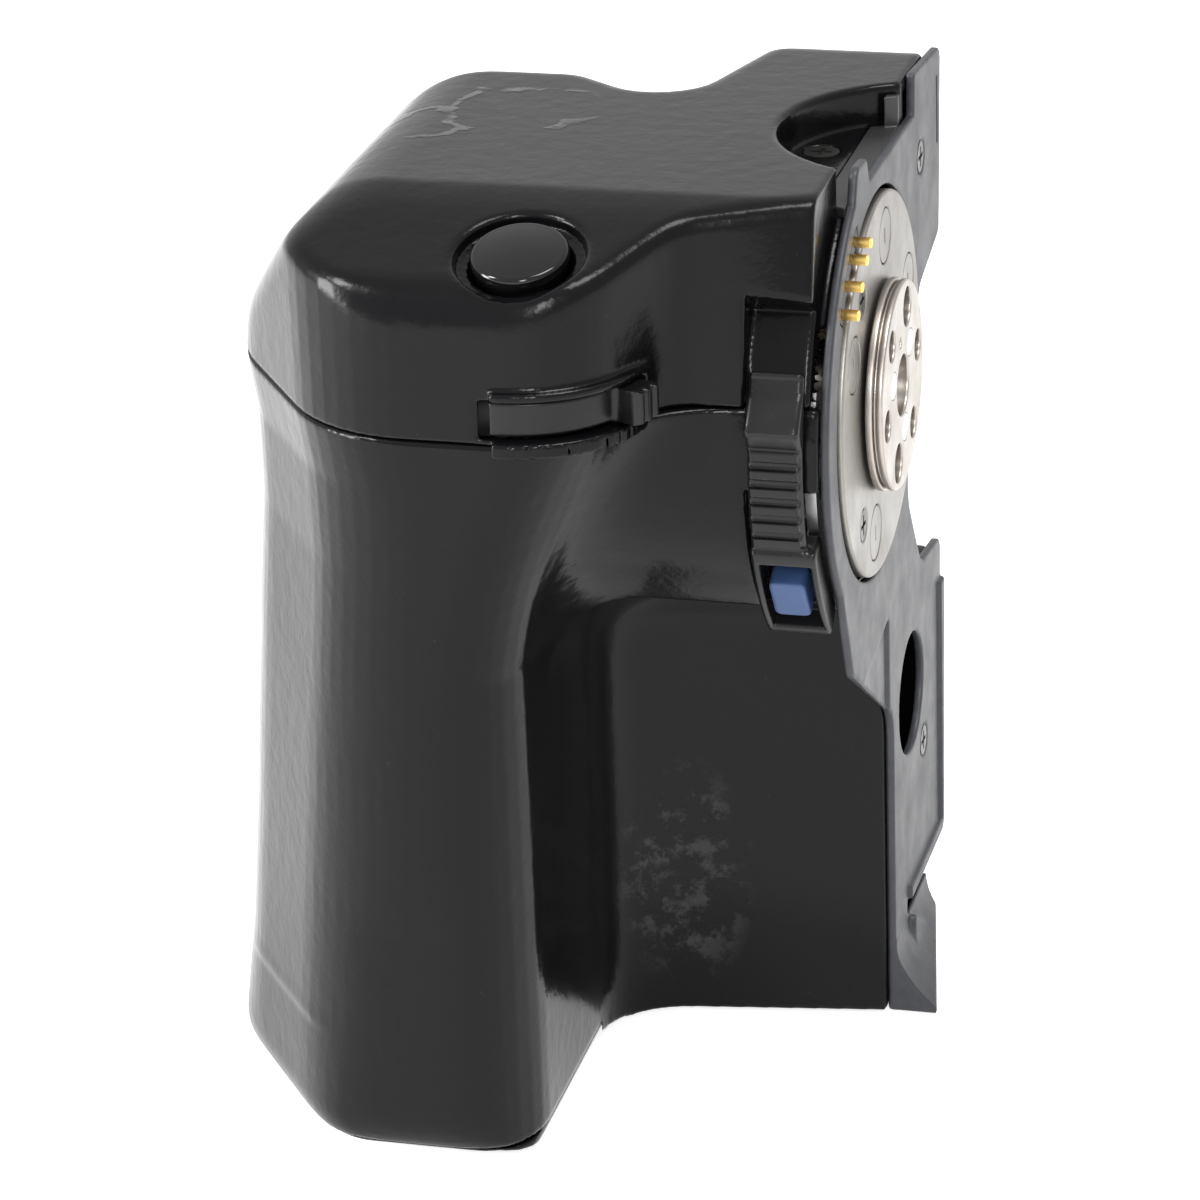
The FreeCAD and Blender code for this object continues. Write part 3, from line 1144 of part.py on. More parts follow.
def board_posts():
    """Bosses that hold the board off the front wall."""
    posts = []
    for x in (-21.0, -6.0):
        share = (x - GRIP_RIGHT_X) / (END_X - GRIP_RIGHT_X)
        wall_y = PANEL_X_Y[0] + (PANEL_X_Y[1] - PANEL_X_Y[0]) * share + WALL + 0.3
        posts += [rod(V(x, wall_y, z), Y, 1.4, CIRCUIT_Y[0] - wall_y)
                  for z in (CIRCUIT_Z[0] + 2.5, CIRCUIT_Z[1] - 2.5)]
    return posts


# Battery

def tray_lobes(radius, z):
    return fuse([rod(V(x, y, z[0]), Z, radius, z[1] - z[0]) for x in CELL_X for y in CELL_Y]
                + [box((CELL_X[0], CELL_X[1]), (CELL_Y[0] - radius, CELL_Y[1] + radius), z),
                   box((CELL_X[0] - radius, CELL_X[1] + radius), CELL_Y, z)])


def battery_tray():
    """Carrier for four cells, open on its sides between the end plates."""
    outer = CELL_R + TRAY_T
    tray = tray_lobes(outer, TRAY_Z)
    z = (TRAY_Z[0] + 1.0, TRAY_Z[1] - 1.0)
    cells = [rod(V(x, y, z[0]), Z, CELL_R + 0.05, z[1] - z[0]) for x in CELL_X for y in CELL_Y]
    cells = [fuse(cells + [box(CELL_X, CELL_Y, z)])]
    windows = [box((-70, -30), (y - 3, y + 3), (-68.0, -33.0)) for y in CELL_Y]
    return cut(tray, cells + windows + [along_x(*hinge_centre(), HINGE_R + 0.3, (-70, -30))])


def battery_cells():
    cells = []
    low = TRAY_Z[0] + 1.15
    for x in CELL_X:
        for y in CELL_Y:
            body = rod(V(x, y, low), Z, CELL_R, CELL_LENGTH - 1.0)
            nub = rod(V(x, y, low + CELL_LENGTH - 1.1), Z, 2.7, 1.1)
            cells.append(fuse([body, nub]))
    return cells


def battery_contacts():
    """Contact strips in the shelf above the tray."""
    return [box((x - 3.0, x + 3.0), (y - 2.0, y + 2.0), (TRAY_Z[1] + 0.3, TRAY_Z[1] + 0.7))
            for x in CELL_X for y in CELL_Y]


def battery_shelf():
    """Roof of the battery bay, seated in the grip shell's walls."""
    shelf = prism(BAY, "XY", TRAY_Z[1] + 0.7, TRAY_Z[1] + 2.2, 0.2)
    return shelf.cut(rod(V(-49.4, -0.6, -40), Z, 1.5, 40))


def shell_screws():
    """Screws that join the upper housing and the grip shell."""
    screws = []
    for x, y in SHELL_BOSSES[:2]:
        body = rod(V(x, y, SEAM_Z - 9.0), Z, SCREW_R, 14.0)
        head = rod(V(x, y, SEAM_Z - 10.4), Z, 1.9, 1.4)
        screws.append(fuse([body, head]))
    return screws


def export(name, shape):
    if isinstance(shape, list):
        shape = Part.makeCompound(shape)
    shape.exportStep("parts/%s.step" % name)


def main():
    os.makedirs("parts", exist_ok=True)
    export("upper_housing", upper_housing())
    export("grip_shell", grip_shell())
    export("battery_cover", battery_cover())
    export("cover_hinge_pin", cover_hinge_pin())
    export("shell_screws", shell_screws())
    export("release_button", release_button())
    export("button_collar", button_collar())
    export("button_spring", button_spring())
    export("release_switch", release_switch())
    export("mode_lever", mode_lever())
    export("mode_pivot", mode_pivot())
    export("mode_switch_board", mode_switch_board())
    export("lock_lever", lock_lever())
    export("lock_ring", lock_ring())
    export("lock_button", lock_button())
    export("lock_button_spring", lock_button_spring())
    export("mount_plate", mount_plate())
    export("plate_screws", plate_screws())
    export("mount_disc", mount_disc())
    export("disc_studs", disc_studs())
    export("disc_screws", disc_screws())
    export("coupling_hub", coupling_hub())
    export("hub_rivets", hub_rivets())
    export("contact_block", contact_block())
    for i, angle in enumerate(PIN_ANGLES):
        export("contact_pin_%d" % (i + 1), contact_pin(angle))
    export("recess_insert", recess_insert())
    export("recess_screw", recess_screw())
    export("front_frame", front_frame())
    export("rear_frame", rear_frame())
    export("frame_posts", frame_posts())
    export("shaft_bushes", shaft_bushes())
    export("hub_gear", hub_gear())
    export("idler_gear", idler_gear())
    export("idler_pin", idler_pin())
    export("motor_pinion", motor_pinion())
    export("motor", motor())
    export("circuit_board", circuit_board())
    export("board_parts", board_parts())
    export("board_posts", board_posts())
    export("battery_tray", battery_tray())
    export("battery_cells", battery_cells())
    export("battery_contacts", battery_contacts())
    export("battery_shelf", battery_shelf())


main()
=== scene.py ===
import bpy
import functools
import json
import math
import numpy as np
from mathutils import Matrix, Vector

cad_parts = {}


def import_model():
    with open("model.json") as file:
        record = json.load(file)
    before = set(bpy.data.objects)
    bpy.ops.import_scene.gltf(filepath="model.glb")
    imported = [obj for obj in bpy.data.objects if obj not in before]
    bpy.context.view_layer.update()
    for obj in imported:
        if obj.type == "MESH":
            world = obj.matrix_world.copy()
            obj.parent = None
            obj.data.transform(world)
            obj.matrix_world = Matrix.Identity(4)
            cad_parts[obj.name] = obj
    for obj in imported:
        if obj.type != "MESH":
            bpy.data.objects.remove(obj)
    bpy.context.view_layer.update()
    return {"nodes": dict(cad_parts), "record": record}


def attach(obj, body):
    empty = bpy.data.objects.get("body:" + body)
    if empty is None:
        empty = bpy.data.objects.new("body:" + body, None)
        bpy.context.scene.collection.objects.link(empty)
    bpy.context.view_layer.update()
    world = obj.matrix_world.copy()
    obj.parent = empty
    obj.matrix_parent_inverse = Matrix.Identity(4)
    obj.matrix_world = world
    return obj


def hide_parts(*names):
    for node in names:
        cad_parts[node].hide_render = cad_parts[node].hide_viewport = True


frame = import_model()
nodes = frame["nodes"]

MM = 0.001
CENTRE, X_AXIS = Vector((0, 0, 0)), Vector((1, 0, 0))

# Sizes in millimetres, as in the solids but for some corner radii and the hub's turn
TOP_Z, SEAM_Z, SEAM_GAP, BOTTOM_Z = 28.5, 6.5, 0.15, -79.5
WALL, END_X, COVER_TOP_Z = 1.8, -1.0, BOTTOM_Z + 1.9
GRIP_REAR_Y, GRIP_FRONT_Y, NOSE_FRONT_Y = 17.6, -40.2, -41.6
GRIP_RIGHT_X, SHOULDER_Y, SLANT_RUN = -31.6, -16.5, 17.6
GRIP_FRONT_R, GRIP_CORNER_R, NOSE_LEFT_R = 19.0, 10.0, 18.0
SHOULDER_R, REAR_R, FOOT_R, SLANT_FOOT_R = 22.0, 9.0, 7.0, 5.5
STEP_Z = BOTTOM_Z + 10.6
BLOCK_REAR_Y, BLOCK_LEFT_X, WAIST_Z = 33.0, -22.0, -22.0
NOSE_X, NOSE_Y, NOSE_R, NOSE_CORNER_X = -31.0, -29.0, 12.6, -23.9
NOSE_ROOT_X, NOSE_ROOT_Y = -16.6, -27.2
DECK_BACK_Y, DECK_SLOPE = -22.0, 0.3122
THUMB_X, THUMB_Y, THUMB_LEFT_X, THUMB_RIGHT_X = -24.5, 8.3, -36.8, -17.6
GRIP_LEFT = ((BOTTOM_Z, -73.0), (BOTTOM_Z + 7.5, -71.8), (BOTTOM_Z + 16.5, -70.5), (-49.0, -69.3),
             (-36.0, -68.3), (WAIST_Z, -67.2), (-10.0, -66.2), (0.0, -66.1), (SEAM_Z, -67.0))   # Z, X
TRACK_R, TRACK_X, TRACK_ANGLES = 27.0, (-8.6, 9.0), (-62.0, 36.0)
DISC_R, DISC_FACE_X = 21.0, 0.44
PLATE_HOLE_R = DISC_R + 0.5
BUTTON_X, BUTTON_Y, BUTTON_R, BUTTON_WELL_R = -30.0, -33.8, 5.1, 6.75
RECESS = (5.0, 3.6, 16.0, 23.5)         # centre X and Y, radius, floor Z
LEVER_Z = (7.3, 11.3)
BEZEL_Z = (5.3, 12.6)
LOCK_X, LOCK_ANGLES, KEY_X, KEY_ANGLE = (-8.2, -2.3), (-48.0, 22.0), -4.9, -34.0
RECESS_SCREW = (-7.5, 7.6)
PLATE_SCREWS = ((25.0, 17.6), (24.1, -53.2))
WINDOW_Y, WINDOW_Z, WINDOW_R = 16.9, -44.0, 7.1
SHELL_POSTS, POST_R, POST_HOLE_R = ((-59.5, 9.0), (-56.3, -19.5)), 2.6, 1.05
HINGE_Y, HINGE_Z, HINGE_R, KNUCKLE_R = GRIP_REAR_Y - 1.5, COVER_TOP_Z + 0.1, 0.55, 1.3
STUD_RING_R, STUD_ANGLES = 16.2, (24.3, 81.4, 153.0, 254.3)
DISC_SCREW_ANGLES = (127.0, 229.0, 318.0)
PIN_ANGLES, PIN_RING_R, PIN_R, PIN_OUT = (61.4, 55.4, 47.0, 38.8), DISC_R + 1.5, 0.58, 1.7
HUB_R, BORE_R, HUB_PCD_R, HUB_TURN = 11.57, 3.35, 8.48, 71.2
SMALL_HOLE_R, LARGE_HOLE_R, RIVET_RING_R, RIVET_R = 1.73, 2.16, 5.3, 1.5
FOOT_Y, LEDGE_H, LEDGE_REACH = (6.4, 25.0), 8.7, 4.7
BEZEL_ANGLES = (-93.0, 0.0)
SLANT_TURN = 0.503                      # tangent of half the turn from the slanted side to the front


def linked(name, data):
    obj = bpy.data.objects.new(name, data)
    bpy.context.scene.collection.objects.link(obj)
    return obj


# Camera

def look(azimuth, elevation, roll, distance, target, lens):
    """Camera fitted to the photograph. Angles in degrees, the distance and target in metres."""
    a, e, r = (math.radians(v) for v in (azimuth, elevation, roll))
    back = Vector((math.sin(a) * math.cos(e), -math.cos(a) * math.cos(e), math.sin(e)))
    right = Vector((math.cos(a), math.sin(a), 0))
    up = back.cross(right)
    side = right * math.cos(r) - up * math.sin(r)
    over = right * math.sin(r) + up * math.cos(r)
    data = bpy.data.cameras.new("camera")
    data.lens = lens
    data.sensor_width = 36.0
    data.sensor_fit = "HORIZONTAL"
    data.clip_start = 0.01
    data.clip_end = 20.0
    camera = linked("camera", data)
    turn = Matrix((side, over, back)).transposed().to_4x4()
    camera.matrix_world = Matrix.Translation(Vector(target) + back * distance) @ turn
    bpy.context.scene.camera = camera


look(azimuth=15.059, elevation=22.994, roll=2.024, distance=0.534227,
     target=(-0.02625, -0.021126, -0.018462), lens=150.0)


# Forms as fields of distance, in millimetres, negative inside

class Grid:
    """Points of a regular box, and the fields of simple forms on them."""

    def __init__(self, low, high, step):
        self.low, self.step = np.array(low, float), step
        count = [int(math.ceil((h - l) / step)) + 1 for l, h in zip(low, high)]
        axes = [(l + step * np.arange(n)).astype(np.float32) for l, n in zip(low, count)]
        self.axes = axes
        self.shape = tuple(count)
        self.x = axes[0][:, None, None]
        self.y = axes[1][None, :, None]
        self.z = axes[2][None, None, :]

    def plane(self, name):
        """The two coordinate arrays of a plane and where its field goes."""
        ax, ay, az = self.axes
        if name == "XY":
            return ax[:, None], ay[None, :], (slice(None), slice(None), None)
        if name == "XZ":
            return ax[:, None], az[None, :], (slice(None), None, slice(None))
        return ay[:, None], az[None, :], (None, slice(None), slice(None))

    def outline(self, corners, name):
        u, v, place = self.plane(name)
        return polygon_field(rounded(corners), u, v)[place]

    def slices(self, keys):
        """Field of a form whose plan changes with height. keys are (z, corners)."""
        u, v, _ = self.plane("XY")
        fields = [polygon_field(rounded(c), u, v) for _, c in keys]
        heights = [z for z, _ in keys]
        out = np.empty(self.shape, np.float32)
        for k, z in enumerate(self.axes[2]):
            j = int(np.clip(np.searchsorted(heights, z) - 1, 0, len(heights) - 2))
            t = float(np.clip((z - heights[j]) / (heights[j + 1] - heights[j]), 0, 1))
            out[:, :, k] = fields[j] * (1 - t) + fields[j + 1] * t
        return out

    def box(self, x, y, z):
        return np.maximum(np.maximum(span(self.x, x), span(self.y, y)), span(self.z, z))

    def tube_x(self, y, z, radius):
        return np.sqrt((self.y - y) ** 2 + (self.z - z) ** 2) - radius

    def tube_z(self, x, y, radius):
        return np.sqrt((self.x - x) ** 2 + (self.y - y) ** 2) - radius

    def rod_x(self, y, z, radius, x):
        return np.maximum(self.tube_x(y, z, radius), span(self.x, x))

    def arc_x(self, radii, x, angles):
        """Curved bar about the coupling axis, with angles counted up from the front."""
        r = self.tube_x(0, 0, 0)
        a = np.arctan2(self.z, -self.y)
        return np.maximum(np.maximum(span(r, radii), past(a, angles) * r), span(self.x, x))

    def arc_z(self, radii, z, angles, centre):
        """Curved bar about an upright axis, with angles counted from +X."""
        r = self.tube_z(*centre, 0)
        a = np.arctan2(self.y - centre[1], self.x - centre[0])
        return np.maximum(np.maximum(span(r, radii), past(a, angles) * r), span(self.z, z))

    def along(self, point, direction):
        """Height along a slanted axis and distance from it."""
        d = np.array(direction, float)
        d = d / np.linalg.norm(d)
        dx, dy, dz = self.x - point[0], self.y - point[1], self.z - point[2]
        h = dx * d[0] + dy * d[1] + dz * d[2]
        r = np.sqrt(np.maximum(dx ** 2 + dy ** 2 + dz ** 2 - h ** 2, 0))
        return h, r


def past(turn, angles):
    """How far directions lie outside a range of angles in degrees."""
    mid, half = math.radians(sum(angles) / 2), math.radians((angles[1] - angles[0]) / 2)
    return np.abs((turn - mid + math.pi) % (2 * math.pi) - math.pi) - half


def span(value, limits):
    """How far a coordinate lies outside its limits."""
    return np.maximum(limits[0] - value, value - limits[1])


def smax(a, b, k):
    """The larger of two fields, with the edge between them rounded over about k."""
    h = np.maximum(k - np.abs(a - b), 0) / k
    return np.maximum(a, b) + h * h * (k * 0.25)


def smin(a, b, k):
    return -smax(-a, -b, k)


def cut(f, away):
    """A form without another, with a sharp edge."""
    return np.maximum(f, -away)


def common(*fields):
    """What several forms share."""
    return functools.reduce(np.maximum, fields)


def fuse(f, more):
    """Two forms as one, with a sharp inner edge."""
    return np.minimum(f, more)


def unit(dx, dy):
    length = math.hypot(dx, dy)
    return dx / length, dy / length


def rounded(corners):
    """Points of a closed outline of (u, v, radius) with its corners rounded."""
    steps = 9
    points = []
    count = len(corners)
    for i in range(count):
        p, q, n = corners[i - 1], corners[i], corners[(i + 1) % count]
        a, b = unit(q[0] - p[0], q[1] - p[1]), unit(n[0] - q[0], n[1] - q[1])
        if q[2] == 0:
            points.append((q[0], q[1]))
            continue
        half = math.acos(max(-1, min(1, a[0] * b[0] + a[1] * b[1]))) / 2
        reach = q[2] * math.tan(half)
        side = 1 if a[0] * b[1] - a[1] * b[0] > 0 else -1
        cx = q[0] - a[0] * reach - side * a[1] * q[2]
        cy = q[1] - a[1] * reach + side * a[0] * q[2]
        start = math.atan2(q[1] - a[1] * reach - cy, q[0] - a[0] * reach - cx)
        for s in range(steps):
            t = start + side * 2 * half * s / (steps - 1)
            points.append((cx + q[2] * math.cos(t), cy + q[2] * math.sin(t)))
    return points


def polygon_field(points, u, v):
    """Signed distance to a closed polygon on a plane's grid."""
    u, v = np.broadcast_arrays(u.astype(np.float32), v.astype(np.float32))
    best = np.full(u.shape, 1e9, np.float32)
    inside = np.zeros(u.shape, bool)
    for i in range(len(points)):
        ax, ay = points[i - 1]
        bx, by = points[i]
        ex, ey = bx - ax, by - ay
        size = ex * ex + ey * ey
        if size < 1e-12:
            continue
        px, py = u - ax, v - ay
        t = np.clip((px * ex + py * ey) / size, 0, 1)
        best = np.minimum(best, (px - t * ex) ** 2 + (py - t * ey) ** 2)
        if ay != by:
            crosses = (ay > v) != (by > v)
            inside ^= crosses & (px < (v - ay) * ex / ey)
    return np.where(inside, -np.sqrt(best), np.sqrt(best)).astype(np.float32)


def surface(grid, field):
    """Vertices and quads of a field's zero surface, by surface nets."""
    f = np.ascontiguousarray(np.broadcast_to(field, grid.shape), dtype=np.float32).copy()
    for axis in range(3):
        for end in (0, -1):
            index = [slice(None)] * 3
            index[axis] = end
            f[tuple(index)] = np.maximum(f[tuple(index)], 0.5 * grid.step)
    neg = f < 0
    total = np.zeros(tuple(n - 1 for n in f.shape), np.int8)
    corners = [(i, j, k) for i in (0, 1) for j in (0, 1) for k in (0, 1)]
    for i, j, k in corners:
        total += neg[i:i + f.shape[0] - 1, j:j + f.shape[1] - 1, k:k + f.shape[2] - 1]
    ci, cj, ck = np.nonzero((total > 0) & (total < 8))
    ids = np.full(total.shape, -1, np.int32)
    ids[ci, cj, ck] = np.arange(len(ci))
    value = {c: f[ci + c[0], cj + c[1], ck + c[2]] for c in corners}
    place, hits = np.zeros((len(ci), 3)), np.zeros(len(ci))
    for c in corners:
        for axis in range(3):
            if c[axis]:
                continue
            d = list(c)
            d[axis] = 1
            v0, v1 = value[c], value[tuple(d)]
            cross = (v0 < 0) != (v1 < 0)
            t = np.where(cross, v0 / np.where(cross, v0 - v1, 1), 0)
            point = np.array(c, float)[None, :] + t[:, None] * np.eye(3)[axis]
            place += point * cross[:, None]
            hits += cross
    place = place / hits[:, None] + np.stack([ci, cj, ck], 1)
    quads = []
    for axis in range(3):
        a, b = [(1, 2), (2, 0), (0, 1)][axis]
        low = [slice(None)] * 3
        high = [slice(None)] * 3
        low[axis], high[axis] = slice(0, -1), slice(1, None)
        change = neg[tuple(low)] != neg[tuple(high)]
        pos = np.stack(np.nonzero(change), 1)
        ok = (pos[:, a] > 0) & (pos[:, b] > 0) & (pos[:, a] < f.shape[a] - 1) & (pos[:, b] < f.shape[b] - 1)
        pos = pos[ok]
        cells = []
        for da, db in ((1, 1), (0, 1), (0, 0), (1, 0)):
            q = pos.copy()
            q[:, a] -= da
            q[:, b] -= db
            cells.append(ids[q[:, 0], q[:, 1], q[:, 2]])
        quad = np.stack(cells, 1)
        flip = ~neg[tuple(low)][pos[:, 0], pos[:, 1], pos[:, 2]]
        quad[flip] = quad[flip][:, ::-1]
        quads.append(quad)
    quads = np.concatenate(quads)
    quads = quads[(quads >= 0).all(1)]
    return settle(grid, f, place), quads


def sample(f, p):
    """A field's value between its grid points."""
    base = np.clip(np.floor(p).astype(int), 0, np.array(f.shape) - 2)
    t = p - base
    out = np.zeros(len(p))
    for i in (0, 1):
        for j in (0, 1):
            for k in (0, 1):
                part_x = t[:, 0] if i else 1 - t[:, 0]
                part_y = t[:, 1] if j else 1 - t[:, 1]
                part_z = t[:, 2] if k else 1 - t[:, 2]
                out += part_x * part_y * part_z * f[base[:, 0] + i, base[:, 1] + j, base[:, 2] + k]
    return out


def settle(grid, f, p):
    """Moves points onto the zero surface along the field's slope."""
    for _ in range(2):
        here = sample(f, p)
        slope = np.stack([sample(f, p + d) - sample(f, p - d) for d in np.eye(3) * 0.5], 1)
        size = (slope ** 2).sum(1)
        move = slope * (here / np.maximum(size, 1e-4 * grid.step ** 2))[:, None]
        length = np.linalg.norm(move, axis=1)
        move *= np.minimum(1, 0.4 / np.maximum(length, 1e-9))[:, None]
        p = p - move
    return p * grid.step + grid.low


def mesh_object(name, vertices, faces, material):
    """Mesh from arrays in millimetres. All faces have as many corners."""
    mesh = bpy.data.meshes.new(name)
    faces = np.asarray(faces, np.int32)
    mesh.vertices.add(len(vertices))
    mesh.vertices.foreach_set("co", (np.asarray(vertices) * MM).astype(np.float32).ravel())
    mesh.loops.add(faces.size)
    mesh.loops.foreach_set("vertex_index", faces.ravel())
    mesh.polygons.add(len(faces))
    mesh.polygons.foreach_set("loop_start", np.arange(len(faces), dtype=np.int32) * faces.shape[1])
    mesh.polygons.foreach_set("use_smooth", np.full(len(faces), True))
    mesh.update()
    mesh.validate()
    mesh.materials.append(material)
    return linked(name, mesh)


def placed(obj, body, slot, *replaced):
    """Puts a piece on its body and in place of the solids' nodes that it shows. slot is not used."""
    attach(obj, body)
    if replaced:
        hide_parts(*replaced)


def piece(name, grid, field, body, slot, *replaced):
    placed(mesh_object(name, *surface(grid, field), MATERIALS[slot]), body, slot, *replaced)


# Materials

def feed(tree, socket, value):
    """Gives an input a value or another node's output."""
    if isinstance(value, bpy.types.NodeSocket):
        tree.links.new(value, socket)
    else:
        socket.default_value = value


def node(tree, kind, **inputs):
    n = tree.nodes.new("ShaderNode" + kind)
    for name, value in inputs.items():
        feed(tree, n.inputs[name], value)
    return n


def material(name, color, roughness, metallic, build, specular=0.5):
    mat = bpy.data.materials.new(name)
    mat.use_nodes = True
    shader = mat.node_tree.nodes["Principled BSDF"]
    shader.inputs["Base Color"].default_value = (*color, 1)
    shader.inputs["Roughness"].default_value = roughness
    shader.inputs["Metallic"].default_value = metallic
    shader.inputs["Specular IOR Level"].default_value = specular
    build(mat.node_tree, shader)
    return mat


def coords(tree):
    return node(tree, "TexCoord").outputs["Object"]


def noise(tree, scale, detail, rough, vector=None):
    vector = vector or coords(tree)
    return node(tree, "TexNoise", Scale=scale, Detail=detail, Roughness=rough, Vector=vector).outputs["Fac"]


def ramp(tree, value, stops):
    """Maps a value through colour or grey stops (position, colour)."""
    n = node(tree, "ValToRGB")
    elements = n.color_ramp.elements
    while len(elements) < len(stops):
        elements.new(0.5)
    for e, (pos, color) in zip(elements, stops):
        e.position = pos
        e.color = (*(color if isinstance(color, tuple) else [color] * 3), 1)
    tree.links.new(value, n.inputs["Fac"])
    return n.outputs["Color"]


def bump(tree, shader, height, strength, distance, after=None):
    n = node(tree, "Bump", Height=height, Strength=strength, Distance=distance)
    if after:
        tree.links.new(after, n.inputs["Normal"])
    tree.links.new(n.outputs["Normal"], shader.inputs["Normal"])
    return n.outputs["Normal"]


def mix(tree, factor, a, b):
    """Mixes two colours. The node's colour sockets are 6 and 7."""
    n = node(tree, "Mix")
    n.data_type = "RGBA"
    for i, value in ((0, factor), (6, (*a, 1)), (7, (*b, 1))):
        feed(tree, n.inputs[i], value)
    return n.outputs[2]


def math_node(tree, op, a, b):
    n = node(tree, "Math")
    n.operation = op
    n.use_clamp = True
    feed(tree, n.inputs[0], a)
    feed(tree, n.inputs[1], b)
    return n.outputs[0]


def vector_math(tree, op, *values):
    n = node(tree, "VectorMath")
    n.operation = op
    for value, socket in zip(values, n.inputs):
        feed(tree, socket, value)
    return n.outputs["Value"] if op == "LENGTH" else n.outputs["Vector"]


def paint(tree, shader, color):
    tree.links.new(color, shader.inputs["Base Color"])


def roughness(tree, shader, value, low, high):
    tree.links.new(ramp(tree, value, [(0.3, low), (0.7, high)]), shader.inputs["Roughness"])


def near(tree, centre, size):
    """1 inside an ellipsoid, falling to 0 at its edge. Centre and half sizes in millimetres."""
    place = vector_math(tree, "SUBTRACT", coords(tree), tuple(c * MM for c in centre))
    place = vector_math(tree, "DIVIDE", place, tuple(c * MM for c in size))
    return ramp(tree, vector_math(tree, "LENGTH", place), [(0.75, 1.0), (1.0, 0.0)])


def cracks(tree, scale, width):
    """Thin broken lines along the cells of a warped pattern."""
    bend = node(tree, "TexNoise", Scale=scale * 2.2, Detail=4.0, Vector=coords(tree))
    warp = vector_math(tree, "MULTIPLY_ADD", bend.outputs["Color"], (0.5 / scale,) * 3, coords(tree))
    cell = node(tree, "TexVoronoi", Scale=scale, Vector=warp)
    cell.feature = "DISTANCE_TO_EDGE"
    line = ramp(tree, cell.outputs["Distance"], [(width * 0.4, 1.0), (width, 0.0)])
    gaps = ramp(tree, noise(tree, scale * 1.4, 3.0, 0.6), [(0.46, 0.0), (0.54, 1.0)])
    return math_node(tree, "MULTIPLY", line, gaps)


def moulded(tree, shader):
    """Black moulding: fine grain, uneven gloss, dust, scuffs, a peeled patch and hairline cracks."""
    grain = noise(tree, 1500, 2.0, 0.6)
    peel = noise(tree, 420, 1.0, 0.5)
    first = bump(tree, shader, grain, 0.14, 0.00015)
    second = bump(tree, shader, peel, 0.12, 0.0004, first)
    top = near(tree, (-47.0, 2.0, 28.0), (17.0, 15.0, 6.0))
    web = math_node(tree, "MULTIPLY", cracks(tree, 75.0, 0.05), top)
    edge = noise(tree, 90, 5.0, 0.65)
    side = near(tree, (-70.0, -6.0, -12.0), (7.0, 9.0, 26.0))
    patch = math_node(tree, "MULTIPLY", side, ramp(tree, edge, [(0.46, 0.0), (0.475, 1.0)]))
    lift = math_node(tree, "ADD", web, math_node(tree, "MULTIPLY", patch, 0.8))
    bump(tree, shader, lift, 0.35, 0.0003, second)
    specks = ramp(tree, noise(tree, 900, 3.0, 0.7), [(0.70, 0.0), (0.80, 1.0)])
    panel = near(tree, (-22.0, -2.0, -62.0), (9.0, 8.0, 18.0))
    scuff = ramp(tree, noise(tree, 260, 6.0, 0.75), [(0.50, 0.0), (0.60, 1.0)])
    scuff = math_node(tree, "MULTIPLY", math_node(tree, "MULTIPLY", scuff, panel), 0.16)
    pale = math_node(tree, "ADD", math_node(tree, "MULTIPLY", specks, 0.08), scuff)
    pale = math_node(tree, "ADD", pale, math_node(tree, "MULTIPLY", web, 0.28))
    pale = math_node(tree, "ADD", pale, math_node(tree, "MULTIPLY", patch, 0.10))
    color = mix(tree, pale, (0.003, 0.003, 0.0035), (0.2, 0.2, 0.205))
    paint(tree, shader, color)
    haze = ramp(tree, noise(tree, 60, 4.0, 0.6), [(0.35, 0.16), (0.75, 0.24)])
    rough = math_node(tree, "ADD", haze, math_node(tree, "MULTIPLY", patch, 0.14))
    tree.links.new(rough, shader.inputs["Roughness"])


def satin_black(tree, shader):
    bump(tree, shader, noise(tree, 1800, 2.0, 0.6), 0.08, 0.0001)
    roughness(tree, shader, noise(tree, 150, 3.0, 0.6), 0.24, 0.36)
    dust = ramp(tree, noise(tree, 1400, 3.0, 0.7), [(0.66, 0.0), (0.8, 1.0)])
    color = mix(tree, math_node(tree, "MULTIPLY", dust, 0.15), (0.006, 0.006, 0.0065), (0.2, 0.2, 0.2))
    paint(tree, shader, color)


def casting(tree, shader):
    """Grey painted casting with a fine tooth and a tone that varies in spots."""
    bump(tree, shader, noise(tree, 1600, 3.0, 0.6), 0.10, 0.00012)
    spots = ramp(tree, noise(tree, 500, 4.0, 0.65), [(0.35, 0.0), (0.75, 1.0)])
    color = mix(tree, spots, (0.030, 0.031, 0.036), (0.046, 0.048, 0.054))
    paint(tree, shader, color)
    roughness(tree, shader, noise(tree, 200, 3.0, 0.6), 0.38, 0.5)


def blasted(tree, shader):
    """Bead-blasted nickel with faint stains."""
    bump(tree, shader, noise(tree, 3500, 2.0, 0.6), 0.25, 0.00006)
    stain = noise(tree, 130, 4.0, 0.6)
    color = ramp(tree, stain, [(0.3, (0.21, 0.198, 0.182)), (0.7, (0.27, 0.258, 0.24))])
    paint(tree, shader, color)
    roughness(tree, shader, stain, 0.46, 0.36)


def turned(tree, shader):
    """Fine rings left by turning about the coupling axis."""
    place = node(tree, "SeparateXYZ", Vector=coords(tree)).outputs
    out = node(tree, "CombineXYZ", Y=place["Y"], Z=place["Z"]).outputs[0]
    line = node(tree, "CombineXYZ", X=vector_math(tree, "LENGTH", out)).outputs[0]
    bump(tree, shader, noise(tree, 9000, 2.0, 0.5, line), 0.06, 0.00005)
    stain = noise(tree, 260, 4.0, 0.6)
    color = ramp(tree, stain, [(0.3, (0.33, 0.295, 0.26)), (0.72, (0.40, 0.375, 0.345))])
    paint(tree, shader, color)
    roughness(tree, shader, stain, 0.40, 0.30)


def worn_metal(tree, shader):
    bump(tree, shader, noise(tree, 2500, 2.0, 0.6), 0.1, 0.00005)
    roughness(tree, shader, noise(tree, 400, 3.0, 0.6), 0.28, 0.42)


